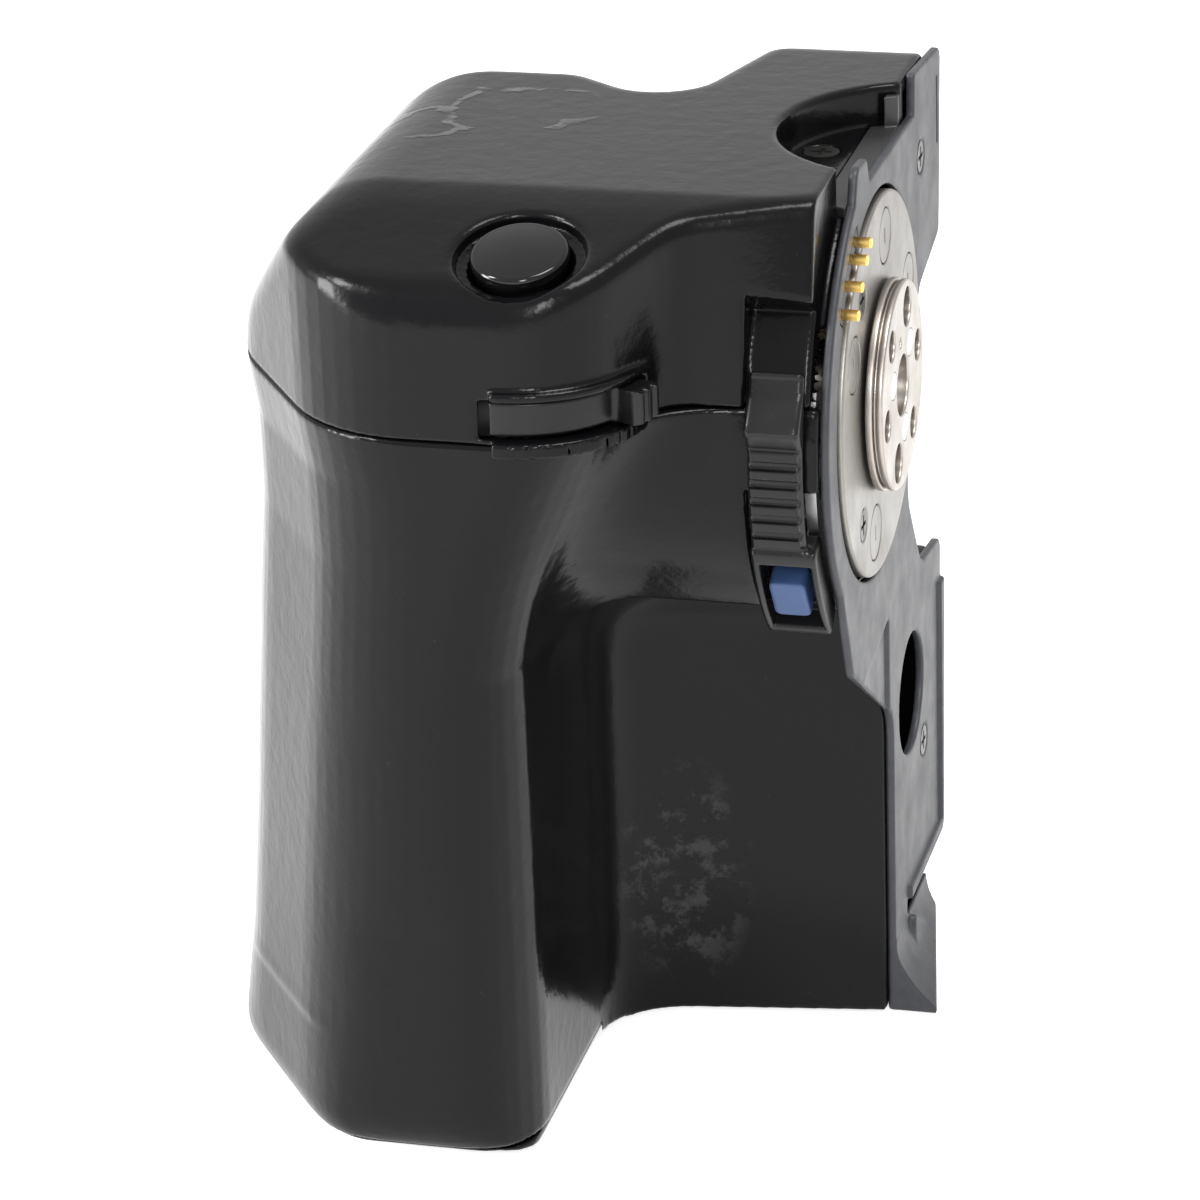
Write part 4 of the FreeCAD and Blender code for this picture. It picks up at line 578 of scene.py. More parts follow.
def plain_plastic(tree, shader):
    bump(tree, shader, noise(tree, 1500, 2.0, 0.6), 0.08, 0.0001)
    roughness(tree, shader, noise(tree, 150, 3.0, 0.6), 0.42, 0.55)


# Slot, colour, roughness, metallic, what varies it, specular level
MATERIALS = {row[0]: material(*row) for row in (
    ("black_moulding", (0.003, 0.003, 0.0035), 0.25, 0, moulded, 0.14),
    ("lever_black", (0.006, 0.006, 0.0065), 0.3, 0, satin_black, 0.25),
    ("button_black", (0.004, 0.004, 0.0045), 0.12, 0,
     lambda t, s: bump(t, s, noise(t, 500, 1.0, 0.5), 0.02, 0.0002), 0.3),
    ("black_inner", (0.02, 0.02, 0.021), 0.5, 0, plain_plastic),
    ("insert_black", (0.014, 0.014, 0.015), 0.4, 0, plain_plastic),
    ("plate_grey", (0.04, 0.041, 0.046), 0.42, 0, casting, 0.35),
    ("disc_nickel", (0.66, 0.64, 0.61), 0.4, 1.0, blasted),
    ("hub_nickel", (0.42, 0.40, 0.37), 0.34, 1.0, turned),
    ("rivet_steel", (0.8, 0.8, 0.8), 0.25, 1.0, worn_metal),
    ("zinc_steel", (0.62, 0.62, 0.62), 0.32, 1.0, worn_metal),
    ("black_steel", (0.05, 0.048, 0.045), 0.4, 0.7, worn_metal),
    ("spring_steel", (0.6, 0.6, 0.61), 0.28, 1.0, worn_metal),
    ("gold_contact", (0.83, 0.56, 0.17), 0.24, 1.0, worn_metal),
    ("key_blue", (0.028, 0.062, 0.16), 0.42, 0, plain_plastic),
    ("frame_alloy", (0.7, 0.7, 0.71), 0.4, 1.0, worn_metal),
    ("bearing_brass", (0.6, 0.42, 0.18), 0.4, 1.0, worn_metal),
    ("gear_brass", (0.72, 0.54, 0.22), 0.3, 1.0, worn_metal),
    ("gear_nylon", (0.75, 0.73, 0.66), 0.45, 0, plain_plastic),
    ("motor_zinc", (0.6, 0.61, 0.62), 0.35, 1.0, worn_metal),
    ("board_green", (0.01, 0.09, 0.035), 0.35, 0, plain_plastic),
    ("tray_black", (0.02, 0.02, 0.02), 0.5, 0, plain_plastic),
    ("cell_jacket", (0.12, 0.125, 0.14), 0.3, 0, plain_plastic),
)}

for part in frame["record"]["subparts"]:
    mesh = nodes[part["node"]].data
    mesh.materials.clear()
    mesh.materials.append(MATERIALS[part["material_slot"]])


# Casing

def ease(z):
    """How far the grip has widened into the nose at a height, from 0 to 1."""
    return max(0.0, (z - WAIST_Z) / (SEAM_Z - WAIST_Z)) ** 1.6


def grip_left(z):
    heights = [h for h, _ in GRIP_LEFT]
    return float(np.interp(z, heights, [x for _, x in GRIP_LEFT]))


def column_corners(z):
    """Plan of the hand grip at a height, as (x, y, radius)."""
    left, e = grip_left(z), ease(z)
    front = GRIP_FRONT_Y + (NOSE_FRONT_Y - GRIP_FRONT_Y) * e
    corner = GRIP_RIGHT_X + (NOSE_CORNER_X - GRIP_RIGHT_X) * e
    root = GRIP_RIGHT_X + 0.4 * (e > 0) + (NOSE_ROOT_X - GRIP_RIGHT_X) * e
    left_r = GRIP_FRONT_R + (NOSE_LEFT_R - GRIP_FRONT_R) * e
    right_r = GRIP_CORNER_R + (NOSE_R - GRIP_CORNER_R) * e
    room = (corner - left - SLANT_RUN) / (SLANT_TURN * left_r + right_r)
    fit = min(1.0, 0.98 * room)             # both radii shrink where the front side is short
    return [(left, GRIP_REAR_Y, REAR_R), (left, SHOULDER_Y, SHOULDER_R),
            (left + SLANT_RUN, front, fit * left_r), (corner, front, fit * right_r),
            (root, NOSE_ROOT_Y + 3.0, 6.0), (root, GRIP_REAR_Y, 0.4)]


def block_corners():
    """Plan of the block behind the finger recess."""
    return [(-44.0, -0.9, 0), (GRIP_RIGHT_X, 1.0, 0), (2.0, 6.05, 0), (2.0, BLOCK_REAR_Y, 0),
            (BLOCK_LEFT_X, BLOCK_REAR_Y, 6.0), (BLOCK_LEFT_X - 5.0, GRIP_REAR_Y, 0), (-44.0, GRIP_REAR_Y, 0)]


def upper_corners(top):
    """Plan of the upper housing at its top or at the seam."""
    root_x = NOSE_ROOT_X + (2.0 if top else 0.0)
    plate_y = -21.4 if top else -26.2
    left = GRIP_LEFT[-1][1]
    slope = (plate_y - NOSE_ROOT_Y) / (END_X - root_x)
    rear_y = GRIP_REAR_Y + (0.7 if top else 0.0)
    rear = (-54.5, rear_y, 13.0) if top else (left, rear_y, REAR_R)
    return [rear, (left, SHOULDER_Y, SHOULDER_R), (left + SLANT_RUN, NOSE_FRONT_Y, NOSE_LEFT_R),
            (NOSE_CORNER_X, NOSE_FRONT_Y, NOSE_R), (root_x, NOSE_ROOT_Y, 6.0),
            (END_X + 4.0, plate_y + 4.0 * slope, 0), (END_X + 4.0, BLOCK_REAR_Y, 0),
            (THUMB_RIGHT_X, BLOCK_REAR_Y, 5.0),
            (THUMB_X, THUMB_Y + (1.0 if top else 0.0), 6.0), (THUMB_LEFT_X, rear_y, 6.0)]


def side_profile():
    """Outline seen from the side: the front, the sloping deck and the rounded foot."""
    nose = NOSE_FRONT_Y - 0.7
    nose_z = TOP_Z + (nose - DECK_BACK_Y) * DECK_SLOPE
    grip = GRIP_FRONT_Y - 0.05
    return [(nose, WAIST_Z - 20.0, 0), (grip, WAIST_Z - 30.0, 0), (grip, BOTTOM_Z, FOOT_R),
            (BLOCK_REAR_Y + 0.3, BOTTOM_Z, 1.5), (BLOCK_REAR_Y + 0.3, TOP_Z, 4.5),
            (DECK_BACK_Y, TOP_Z, 5.0), (nose, nose_z, 6.4)]


def front_profile():
    """Outline seen from the front: the left shoulder and foot."""
    left = GRIP_LEFT[0][1] - 0.4
    return [(left, BOTTOM_Z, 4.0), (10.0, BOTTOM_Z, 0), (10.0, TOP_Z, 0), (-53.0, TOP_Z, 12.0),
            (-67.5, 9.0, 12.0), (-67.7, -5.0, 0), (left, -60.0, 0)]


def notch_corners():
    """Hollow of the rear notch, seen from the side."""
    corners = [(60.0, -31.8, 0), (60.0, 3.6, 0), (33.5, 5.2, 0), (24.3, 3.0, 3.0),
               (GRIP_REAR_Y, -6.0, 8.0), (GRIP_REAR_Y, -22.0, 6.0), (23.8, -31.8, 5.0)]
    return corners[::-1]


def step_corners():
    return [(60.0, BOTTOM_Z - 9, 0), (60.0, STEP_Z, 0), (24.5, STEP_Z, 1.5), (24.5, BOTTOM_Z - 9, 0)]


def bulge_corners():
    """Side outline of the gear housing above the finger recess."""
    return [(-30.0, SEAM_Z + 4, 0), (-30.0, -17.0, 1.0), (-19.0, -18.6, 3.5), (7.6, WAIST_Z - 3.0, 0),
            (GRIP_REAR_Y, WAIST_Z - 3.0, 0), (GRIP_REAR_Y, SEAM_Z + 4, 0)]


def slanted_foot(g):
    """Rounding along the bottom of the slanted front left side."""
    left = grip_left(BOTTOM_Z + FOOT_R)
    angle = math.atan2(SLANT_RUN, SHOULDER_Y - GRIP_FRONT_Y)
    c, s = math.cos(angle), math.sin(angle)
    side = left * c + SHOULDER_Y * s - 0.05 - (g.x * c + g.y * s) - np.maximum(g.z - BOTTOM_Z - 2 * FOOT_R, 0)
    under = BOTTOM_Z - g.z
    over, below = np.maximum(side + SLANT_FOOT_R, 0), np.maximum(under + SLANT_FOOT_R, 0)
    return np.minimum(np.maximum(side, under), -SLANT_FOOT_R) + np.sqrt(over ** 2 + below ** 2)


def profiles(g, f, k=2.4):
    """Cuts a casing form to its side and front outlines, with edges rounded over about k."""
    low = np.clip((-60.0 - g.z) / 6.0, 0, 1) * np.clip((g.x - GRIP_RIGHT_X + 4.0) / 6.0, 0, 1)
    k = k + (0.5 - k) * low
    f = smax(f, g.outline(side_profile(), "YZ"), k)
    f = smax(f, g.outline(front_profile(), "XZ"), k)
    return smax(f, slanted_foot(g), k)


def lower_outer(g):
    """The grip, the finger recess block and the gear housing, without the cuts at the plate and seam."""
    heights = sorted(set([z for z, _ in GRIP_LEFT] + list(np.linspace(WAIST_Z, SEAM_Z, 12))))
    column = g.slices([(z, column_corners(z)) for z in heights])
    block = common(g.outline(block_corners(), "XY"), g.z + 20.0)
    drum = fuse(g.tube_x(0, 0, TRACK_R), -g.y)
    gear = common(g.outline(bulge_corners(), "YZ"), drum)
    gear = common(gear, -32.0 - g.x)
    lip = g.box((THUMB_RIGHT_X, 5.0), (10.0, BLOCK_REAR_Y), (-12.0, SEAM_Z + 4))
    body = smin(column, block, 9.0)
    body = smin(body, gear, 10.0)
    body = fuse(body, lip)
    body = smax(body, -g.outline(notch_corners(), "YZ"), 1.0)
    body = smax(body, -g.outline(step_corners(), "YZ"), 1.0)
    return profiles(g, body)


def thumb_cut(g):
    """Thumb channel at the rear, running out below the seam."""
    back = GRIP_REAR_Y + 1.2
    upper = [(THUMB_LEFT_X - 1.4, back, 0.3), (THUMB_X, THUMB_Y, 4.0), (THUMB_RIGHT_X, back, 0.3)]
    lower = [(-34.0, back, 0.3), (-27.0, GRIP_REAR_Y - 1.0, 1.0), (-24.0, back, 0.3)]
    f = g.slices([(-14.0, lower), (SEAM_Z + 0.1, upper)])
    return common(f, -14.0 - g.z)


def seat_disc(g):
    return g.rod_x(0, 0, DISC_R + 0.3, (-1.9, 6.0))


def lock_track(g):
    return common(g.arc_x((TRACK_R, 60.0), TRACK_X, TRACK_ANGLES), g.y)


def grip_piece():
    g = Grid((-74.0, -42.6, -80.4), (0.4, 34.0, 7.6), 0.42)
    outer = lower_outer(g)
    thumb = thumb_cut(g)
    outer = smax(outer, -thumb, 2.0)
    inner = outer + WALL
    inner = common(inner, -(thumb - WALL))
    bay = g.outline([(-65.2, 15.2, 7.2), (-65.2, -16.6, 7.2), (-33.4, -16.6, 5.0), (-33.4, 15.2, 2.0)], "XY")
    bay = common(bay, g.z + 20.0)
    rib = g.box((-33.2, -32.0), (-14.0, 16.0), (-90.0, WAIST_Z))
    partition = g.box((-80.0, GRIP_RIGHT_X), (-18.4, -16.6), (-90.0, WAIST_Z))
    inner = common(inner, -rib, -partition)
    inner = fuse(inner, bay)
    pocket = g.arc_x((21.9, 60.0), TRACK_X, (-64.0, -5.5))
    f = smax(outer, -lock_track(g), 0.5)
    f = cut(f, inner)
    f = smax(f, -pocket, 0.4)
    f = cut(f, seat_disc(g))
    f = smax(f, g.x - END_X, 0.5)
    f = smax(f, g.z - SEAM_Z, 0.15)
    cover = common(g.x - (GRIP_RIGHT_X - 0.25), g.z - (COVER_TOP_Z + 0.25))
    f = smax(f, -cover, 0.4)
    f = cut(f, g.rod_x(HINGE_Y, HINGE_Z, KNUCKLE_R + 0.3, (-60.3, -38.7)))
    for x in ((-63.0, -60.3), (-38.7, -36.0)):
        f = fuse(f, g.rod_x(HINGE_Y, HINGE_Z, KNUCKLE_R, x))
    for post in SHELL_POSTS:
        column = common(g.tube_z(*post, POST_R), span(g.z, (SEAM_Z - 9, SEAM_Z)))
        f = fuse(f, common(column, -g.tube_z(*post, POST_HOLE_R)))
    piece("grip_skin", g, f, "grip", "black_moulding", "grip_shell")


def cover_piece():
    g = Grid((-74.0, -41.2, -80.4), (-31.0, 18.4, -73.6), 0.3)
    outer = lower_outer(g)
    f = smax(outer, g.z - COVER_TOP_Z, 0.4)
    f = smax(f, g.x - (GRIP_RIGHT_X - 0.5), 0.4)
    f = smax(f, g.y - HINGE_Y + 0.3, 0.4)
    for x in ((-63.3, -60.0), (-39.0, -35.7)):
        f = cut(f, g.rod_x(HINGE_Y, HINGE_Z, KNUCKLE_R + 0.3, x))
    f = fuse(f, g.rod_x(HINGE_Y, HINGE_Z, KNUCKLE_R, (-60.0, -39.0)))
    f = fuse(f, g.box((-60.0, -39.0), (HINGE_Y - 2.0, HINGE_Y), (BOTTOM_Z + 0.3, COVER_TOP_Z)))
    for x in (-47.5, -40.5):
        f = fuse(f, g.box((x, x + 5), (-32.6, -31.6), (COVER_TOP_Z - 0.3, COVER_TOP_Z + 3.0)))
    for i in range(4):
        groove = g.box((-52.0, -38.0), (-30.0 + 2.4 * i, -29.2 + 2.4 * i), (BOTTOM_Z - 2, BOTTOM_Z + 0.5))
        f = smax(f, -groove, 0.3)
    f = cut(f, g.tube_x(HINGE_Y, HINGE_Z, HINGE_R))
    piece("cover_skin", g, f, "cover", "black_moulding", "battery_cover")


def deck_frame():
    """Where the release button sits on the sloping deck, and the deck's direction."""
    n = Vector((0, -DECK_SLOPE, 1)).normalized()
    return Vector((BUTTON_X, BUTTON_Y, TOP_Z + (BUTTON_Y - DECK_BACK_Y) * DECK_SLOPE)), n


def upper_outer(g):
    f = g.slices([(SEAM_Z, upper_corners(False)), (TOP_Z, upper_corners(True))])
    return profiles(g, f, 2.0)


def housing_piece():
    g = Grid((-68.0, -43.4, 4.6), (0.2, 34.0, 29.4), 0.33)
    outer = upper_outer(g)
    inner = outer + WALL
    cx, cy, cr, floor = RECESS
    recess = common(g.tube_z(cx, cy, cr), floor - g.z)
    lining = common(g.tube_z(cx, cy, cr + WALL), floor - 1.3 - g.z)
    point, n = deck_frame()
    h, r = g.along(point, n)
    well = common(r - BUTTON_WELL_R, -1.4 - h)
    well_lining = common(r - BUTTON_WELL_R - 1.4, -4.2 - h)
    x, y = RECESS_SCREW
    seat = common(g.tube_z(x, y, 2.5), floor - 3.4 - g.z)
    inner = common(inner, -lining, -well_lining, -seat)
    f = common(outer, -inner)
    f = fuse(f, g.rod_x(*PLATE_SCREWS[0], 2.4, (THUMB_RIGHT_X - 1.2, 5)))
    wall = common(outer, g.box((-3.6, 9.0), (-40.0, -2.6), (SEAM_Z, 60.0)))
    wall = common(wall, -g.tube_x(0, 0, 24.0))
    path = g.arc_x((20.0, 25.1), (-10, 9), (-20.0, 33.5))
    wall = common(wall, -path, -g.tube_z(cx, cy, cr + 0.05))
    f = fuse(f, wall)
    track_wall = g.arc_x((TRACK_R - WALL, 60.0), (TRACK_X[0] - WALL, TRACK_X[1]), (0.0, 40.0))
    f = fuse(f, common(track_wall, outer))
    f = smax(f, -recess, 0.7)
    f = smax(f, -well, 0.9)
    f = cut(f, common(r - BUTTON_R - 0.3, np.abs(h) - 9.0))
    slot_x = common(-4.1 - g.x, 20.7 - g.z, g.tube_z(cx, cy, cr + 0.05))
    f = smax(f, -slot_x, 0.25)
    for post in SHELL_POSTS:
        column = common(g.tube_z(*post, POST_R), outer + 0.5)
        f = fuse(f, common(column, -common(g.tube_z(*post, POST_HOLE_R), g.z - SEAM_Z - 6)))
    f = smax(f, SEAM_Z + SEAM_GAP - g.z, 0.15)
    centre = (NOSE_X, NOSE_Y)
    rim = g.arc_z((NOSE_R - 0.6, NOSE_R + 0.7), (SEAM_Z + SEAM_GAP, BEZEL_Z[1]), BEZEL_ANGLES, centre)
    apron = g.arc_z((NOSE_R + 0.15, NOSE_R + 0.7), BEZEL_Z, BEZEL_ANGLES, centre)
    f = smin(f, rim + 0.12, 0.5)
    f = fuse(f, apron + 0.1)
    z = (LEVER_Z[0] - 0.15, LEVER_Z[1] + 0.15)
    slot = g.arc_z((NOSE_R - 5.0, NOSE_R + 6.0), z, (-92.0, -8.0), centre)
    groove = g.arc_z((NOSE_R - 3.6, NOSE_R - 0.35), z, (-138.0, 31.0), centre)
    f = smax(f, -slot, 0.5)
    f = cut(f, groove)
    f = cut(f, common(g.tube_z(x, y, 1.05), floor - 3.0 - g.z))
    f = cut(f, common(g.tube_z(x, y, 2.05), floor - 0.9 - g.z))
    f = smax(f, -g.outline(notch_corners(), "YZ"), 0.8)
    f = cut(f, g.rod_x(*PLATE_SCREWS[0], 0.95, (-7.0, 5)))
    f = smax(f, -g.arc_x((25.3, 60.0), (-1.9, 9.0), (14.0, 76.0)), 0.3)
    f = cut(f, seat_disc(g))
    f = smax(f, -lock_track(g), 0.6)
    f = smax(f, g.x - END_X, 0.5)
    piece("housing_skin", g, f, "grip", "black_moulding", "upper_housing")


# Mount plate and what it carries

def front(radius, degrees):
    """Y and Z on a circle about the coupling, from the front upwards."""
    a = math.radians(degrees)
    return -radius * math.cos(a), radius * math.sin(a)


def polar(radius, degrees):
    """Y and Z on a circle about the coupling, from +Y upwards."""
    a = math.radians(degrees)
    return radius * math.cos(a), radius * math.sin(a)


def plate_corners():
    front_y, rear_y = FOOT_Y
    floor = RECESS[3]
    return [(37.0, 26.9, 1.6), (21.6, 28.2, 0.4), (21.3, floor, 0.4), (-3.2, floor + 0.6, 0.3),
            (-4.4, 26.9, 0.9), (-9.4, 27.3, 1.6), (-13.0, 17.0, 0), (-13.0, -13.0, 0), (-20.2, -15.9, 0.4),
            (-14.9, -28.2, 2.5), (front_y, -41.8, 5.0), (front_y, BOTTOM_Z, 0.3), (rear_y, BOTTOM_Z, 0.5),
            (rear_y, BOTTOM_Z + 1.5, 0.4), (13.6, STEP_Z - 2.2, 0.6), (13.6, STEP_Z, 0.4),
            (34.0, STEP_Z, 1.5), (35.2, -32.0, 1.6),
            (23.6, -30.6, 4.0), (16.3, -20.0, 7.0), (16.8, -6.0, 9.0), (24.0, 2.7, 3.0), (35.6, 5.4, 1.5)]


def plate_piece():
    g = Grid((-3.0, -26.6, -80.2), (5.2, 37.6, 28.8), 0.22)
    plan = g.outline(plate_corners(), "YZ")
    f = smax(plan, span(g.x, (-1.0, 0.0)), 0.3)
    rim = smax(common(g.tube_x(0, 0, 26.0), g.y + 8.0), span(g.x, (-1.0, 0.0)), 0.5)
    f = fuse(f, rim)
    boss = g.outline([(13.9, BOTTOM_Z, 0), (FOOT_Y[1], BOTTOM_Z, 0.4), (FOOT_Y[1], BOTTOM_Z + 1.5, 1.0),
                      (15.0, STEP_Z - 2.4, 0.8), (13.9, STEP_Z - 2.2, 0.4)], "YZ")
    f = fuse(f, smax(boss, span(g.x, (-0.5, 0.9)), 0.4))
    upright = g.box((-0.5, 0.6), (32.9, 37.0), (STEP_Z + 1.2, -37.0))
    lip = common(fuse(upright, g.box((-0.5, 0.6), (14.0, 37.0), (STEP_Z - 0.8, STEP_Z + 1.6))), plan)
    f = smin(f, smax(lip, g.x - 0.6, 0.4), 0.3)
    reach = LEDGE_REACH * np.clip(1.0 - (g.z - BOTTOM_Z - 0.5) / (LEDGE_H - 0.5), 0, 1) ** 1.9
    ledge = common(g.x - reach, span(g.z, (BOTTOM_Z, BOTTOM_Z + LEDGE_H)), span(g.y, FOOT_Y))
    taper = (g.x - 4.8) * 0.978 + (g.y - 6.0) * 0.19
    ledge = common(ledge, taper, -0.5 - g.x)
    f = smin(f, ledge, 0.4)
    f = common(f, BOTTOM_Z - g.z)
    sink = g.outline([(4.4, -29.5, 0.5), (-12.0, -32.0, 1.0), (4.4, -52.0, 1.0)], "YZ")
    depth = 0.45 * np.clip((g.y + 12.0) / 16.4, 0, 1)
    sink = common(sink, -0.45 - g.x, -depth - g.x)
    f = smax(f, -sink, 0.25)
    f = smax(f, -g.tube_x(0, 0, PLATE_HOLE_R), 0.25)
    f = smax(f, -g.tube_x(WINDOW_Y, WINDOW_Z, WINDOW_R), 0.3)
    f = cut(f, g.arc_x((21.3, 23.6), (-5, 9), (35.6, 64.6)))
    f = cut(f, g.box((-0.6, 3.0), (34.2, 34.8), (16.3, 24.0)))
    for y, z in PLATE_SCREWS:
        r = g.tube_x(y, z, 0)
        cone = common((r - 1.2) * 0.7 - (g.x + 0.8) * 0.9, -0.8 - g.x)
        f = cut(f, fuse(r - 1.0, cone))
    for angles in ((-150.0, -112.0), (72.0, 108.0)):
        lug = g.arc_x((18.9, 22.1), (-2.6, -1.65), angles)
        lug = fuse(lug, g.arc_x((PLATE_HOLE_R, 22.1), (-2.6, -0.9), angles))
        f = fuse(f, common(lug, g.y - 14.6))
    piece("plate_skin", g, f, "grip", "plate_grey", "mount_plate")


def cross(g, y, z, top):
    arm, wide, deep = 1.15, 0.22, 0.5
    r = common(np.abs(g.y - y) - arm, np.abs(g.z - z) - wide)
    q = common(np.abs(g.z - z) - arm, np.abs(g.y - y) - wide)
    return common(fuse(r, q), top - deep - g.x)


def disc_piece():
    g = Grid((-1.9, -21.4, -21.4), (0.75, 21.4, 21.4), 0.13)
    f = smax(g.tube_x(0, 0, DISC_R), span(g.x, (-1.6, DISC_FACE_X)), 0.3)
    f = cut(f, g.tube_x(0, 0, 5.1))
    for a in STUD_ANGLES:
        y, z = polar(STUD_RING_R, a)
        f = smax(f, -common(g.tube_x(y, z, 3.1), -0.6 - g.x), 0.12)
    for a in DISC_SCREW_ANGLES:
        y, z = polar(STUD_RING_R, a)
        r = g.tube_x(y, z, 0)
        cone = common((r - 2.0) * 0.72 - (g.x - DISC_FACE_X) * 0.7, -0.36 - g.x)
        f = cut(f, fuse(r - 1.0, cone))
    piece("disc_skin", g, f, "grip", "disc_nickel", "mount_disc")


def first_of_row(i, node):
    """The node that the first piece of a row replaces."""
    return [node] if i == 0 else []


def stud_piece():
    for i, a in enumerate(STUD_ANGLES):
        y, z = polar(STUD_RING_R, a)
        g = Grid((-0.9, y - 3.3, z - 3.3), (0.7, y + 3.3, z + 3.3), 0.08)
        f = smax(g.tube_x(y, z, 3.0), span(g.x, (-0.6, 0.42)), 0.2)
        slot = common(np.abs(g.y - y) - 0.22, np.abs(g.z - z) - 0.85)
        f = cut(f, common(slot, -0.2 - g.x))
        piece("stud_%d" % (i + 1), g, f, "grip", "disc_nickel", *first_of_row(i, "disc_studs"))


def screw_piece(name, y, z, top, replaced):
    g = Grid((top - 1.4, y - 2.2, z - 2.2), (top + 0.2, y + 2.2, z + 2.2), 0.07)
    r = g.tube_x(y, z, 0)
    head = common((r - 1.85) * 0.72 - (g.x - top) * 0.7, span(g.x, (top - 0.8, top - 0.05)))
    f = smin(smax(head, r - 1.85, 0.1), common(r - 0.9, span(g.x, (top - 1.3, top - 0.5))), 0.1)
    f = cut(f, cross(g, y, z, top))
    piece(name, g, f, "grip", "black_steel", *replaced)


def hub_piece():
    g = Grid((0.5, -11.9, -11.9), (3.0, 11.9, 11.9), 0.1)
    f = smax(g.tube_x(0, 0, HUB_R), span(g.x, (0.8, 1.65)), 0.3)
    f = fuse(f, common(g.tube_x(0, 0, 10.9), span(g.x, (0.8, 2.6))))
    f = fuse(f, smax(g.tube_x(0, 0, HUB_R - 0.1), span(g.x, (1.95, 2.74)), 0.35))
    f = smax(f, -g.tube_x(0, 0, BORE_R), 0.25)
    for i in range(6):
        y, z = polar(HUB_PCD_R, HUB_TURN + 60.0 * i)
        f = smax(f, -g.tube_x(y, z, SMALL_HOLE_R if i % 3 else LARGE_HOLE_R), 0.2)
    for i in range(3):
        y, z = polar(RIVET_RING_R, HUB_TURN - 30.0 + 120.0 * i)
        f = cut(f, common(g.tube_x(y, z, RIVET_R + 0.05), 1.9 - g.x))
    y, z = polar(RIVET_RING_R, HUB_TURN + 31.0)
    f = smax(f, -common(g.tube_x(y, z, 0.6), 1.9 - g.x), 0.15)
    piece("hub_face", g, f, "coupling", "hub_nickel", "coupling_hub")
    shaft = [(BORE_R, 1.0), (4.4, 1.0), (4.4, -15.0), (4.2, -15.2), (0.0, -15.2)]
    bore = [(BORE_R - 0.01, 2.4), (BORE_R - 0.01, -3.26), (0.0, -3.26)]
    lathe("hub_shaft", shaft, CENTRE, X_AXIS, 96, "coupling", "hub_nickel")
    lathe("hub_bore", bore, CENTRE, X_AXIS, 96, "coupling", "hub_nickel")
    back = [(11.3, 0.86), (4.5, 0.86)]
    lathe("hub_back", back, CENTRE, X_AXIS, 96, "coupling", "hub_nickel", finish="black_steel")


def rivet_piece():
    for i in range(3):
        y, z = polar(RIVET_RING_R, HUB_TURN - 30.0 + 120.0 * i)
        g = Grid((1.9, y - 1.8, z - 1.8), (2.95, y + 1.8, z + 1.8), 0.06)
        f = smax(g.tube_x(y, z, RIVET_R), span(g.x, (2.0, 2.78)), 0.25)
        f = smax(f, -common(g.tube_x(y, z, 0.45), 2.5 - g.x), 0.15)
        ring = np.abs(g.tube_x(y, z, 1.05)) - 0.10
        f = smax(f, -common(ring, 2.68 - g.x), 0.1)
        piece("rivet_%d" % (i + 1), g, f, "coupling", "rivet_steel", *first_of_row(i, "hub_rivets"))


def lathe(name, profile, origin, axis, count, body, slot, *replaced, finish=None):
    """Turned piece. profile is (radius, height) in millimetres, finish a material other than the slot's."""
    axis = axis.normalized()
    side = axis.orthogonal().normalized()
    other = axis.cross(side)
    vertices, faces = [], []
    for r, h in profile:
        for i in range(count):
            a = 2 * math.pi * i / count
            p = origin + axis * h + (side * math.cos(a) + other * math.sin(a)) * r
            vertices.append(tuple(p))
    for j in range(len(profile) - 1):
        for i in range(count):
            k = (i + 1) % count
            faces.append((j * count + i, j * count + k, (j + 1) * count + k, (j + 1) * count + i))
    obj = mesh_object(name, np.array(vertices), np.array(faces)[:, ::-1], MATERIALS[finish or slot])
    placed(obj, body, slot, *replaced)


def quarter(centre, radius, start, end, steps):
    angles = [math.radians(start + (end - start) * i / steps) for i in range(steps + 1)]
    return [(centre[0] + radius * math.cos(a), centre[1] + radius * math.sin(a)) for a in angles]


def pin_pieces():
    for i, a in enumerate(PIN_ANGLES):
        y, z = front(PIN_RING_R, a)
        edge = 0.14
        tip = quarter((PIN_R - edge, PIN_OUT - edge), edge, 0, 90, 5)
        profile = [(0.0, -4.2), (PIN_R, -4.2), (PIN_R, PIN_OUT - edge)] + tip + [(0.0, PIN_OUT)]
        lathe("pin_skin_%d" % (i + 1), profile[::-1], Vector((0, y, z)), X_AXIS, 40,
              "pin_%d" % (i + 1), "gold_contact", "contact_pin_%d" % (i + 1))


def button_piece():
    point, n = deck_frame()
    dome_top, dome_r, edge_r = 0.75, 26.0, 0.55
    flat_r = BUTTON_R - edge_r
    dome = [(r, dome_top - dome_r + math.sqrt(dome_r ** 2 - r * r)) for r in np.linspace(0, flat_r, 12)]
    rim = quarter((flat_r, dome[-1][1] - edge_r), edge_r, 90, 0, 8)
    inside = [(3.9, -2.6), (3.9, -0.35), (1.6, -0.35), (1.6, -7.3), (0.0, -7.3)]
    lathe("button_skin", dome + rim[1:] + [(BUTTON_R, -2.6)] + inside, point, n, 128,
          "release_button", "button_black", "release_button")


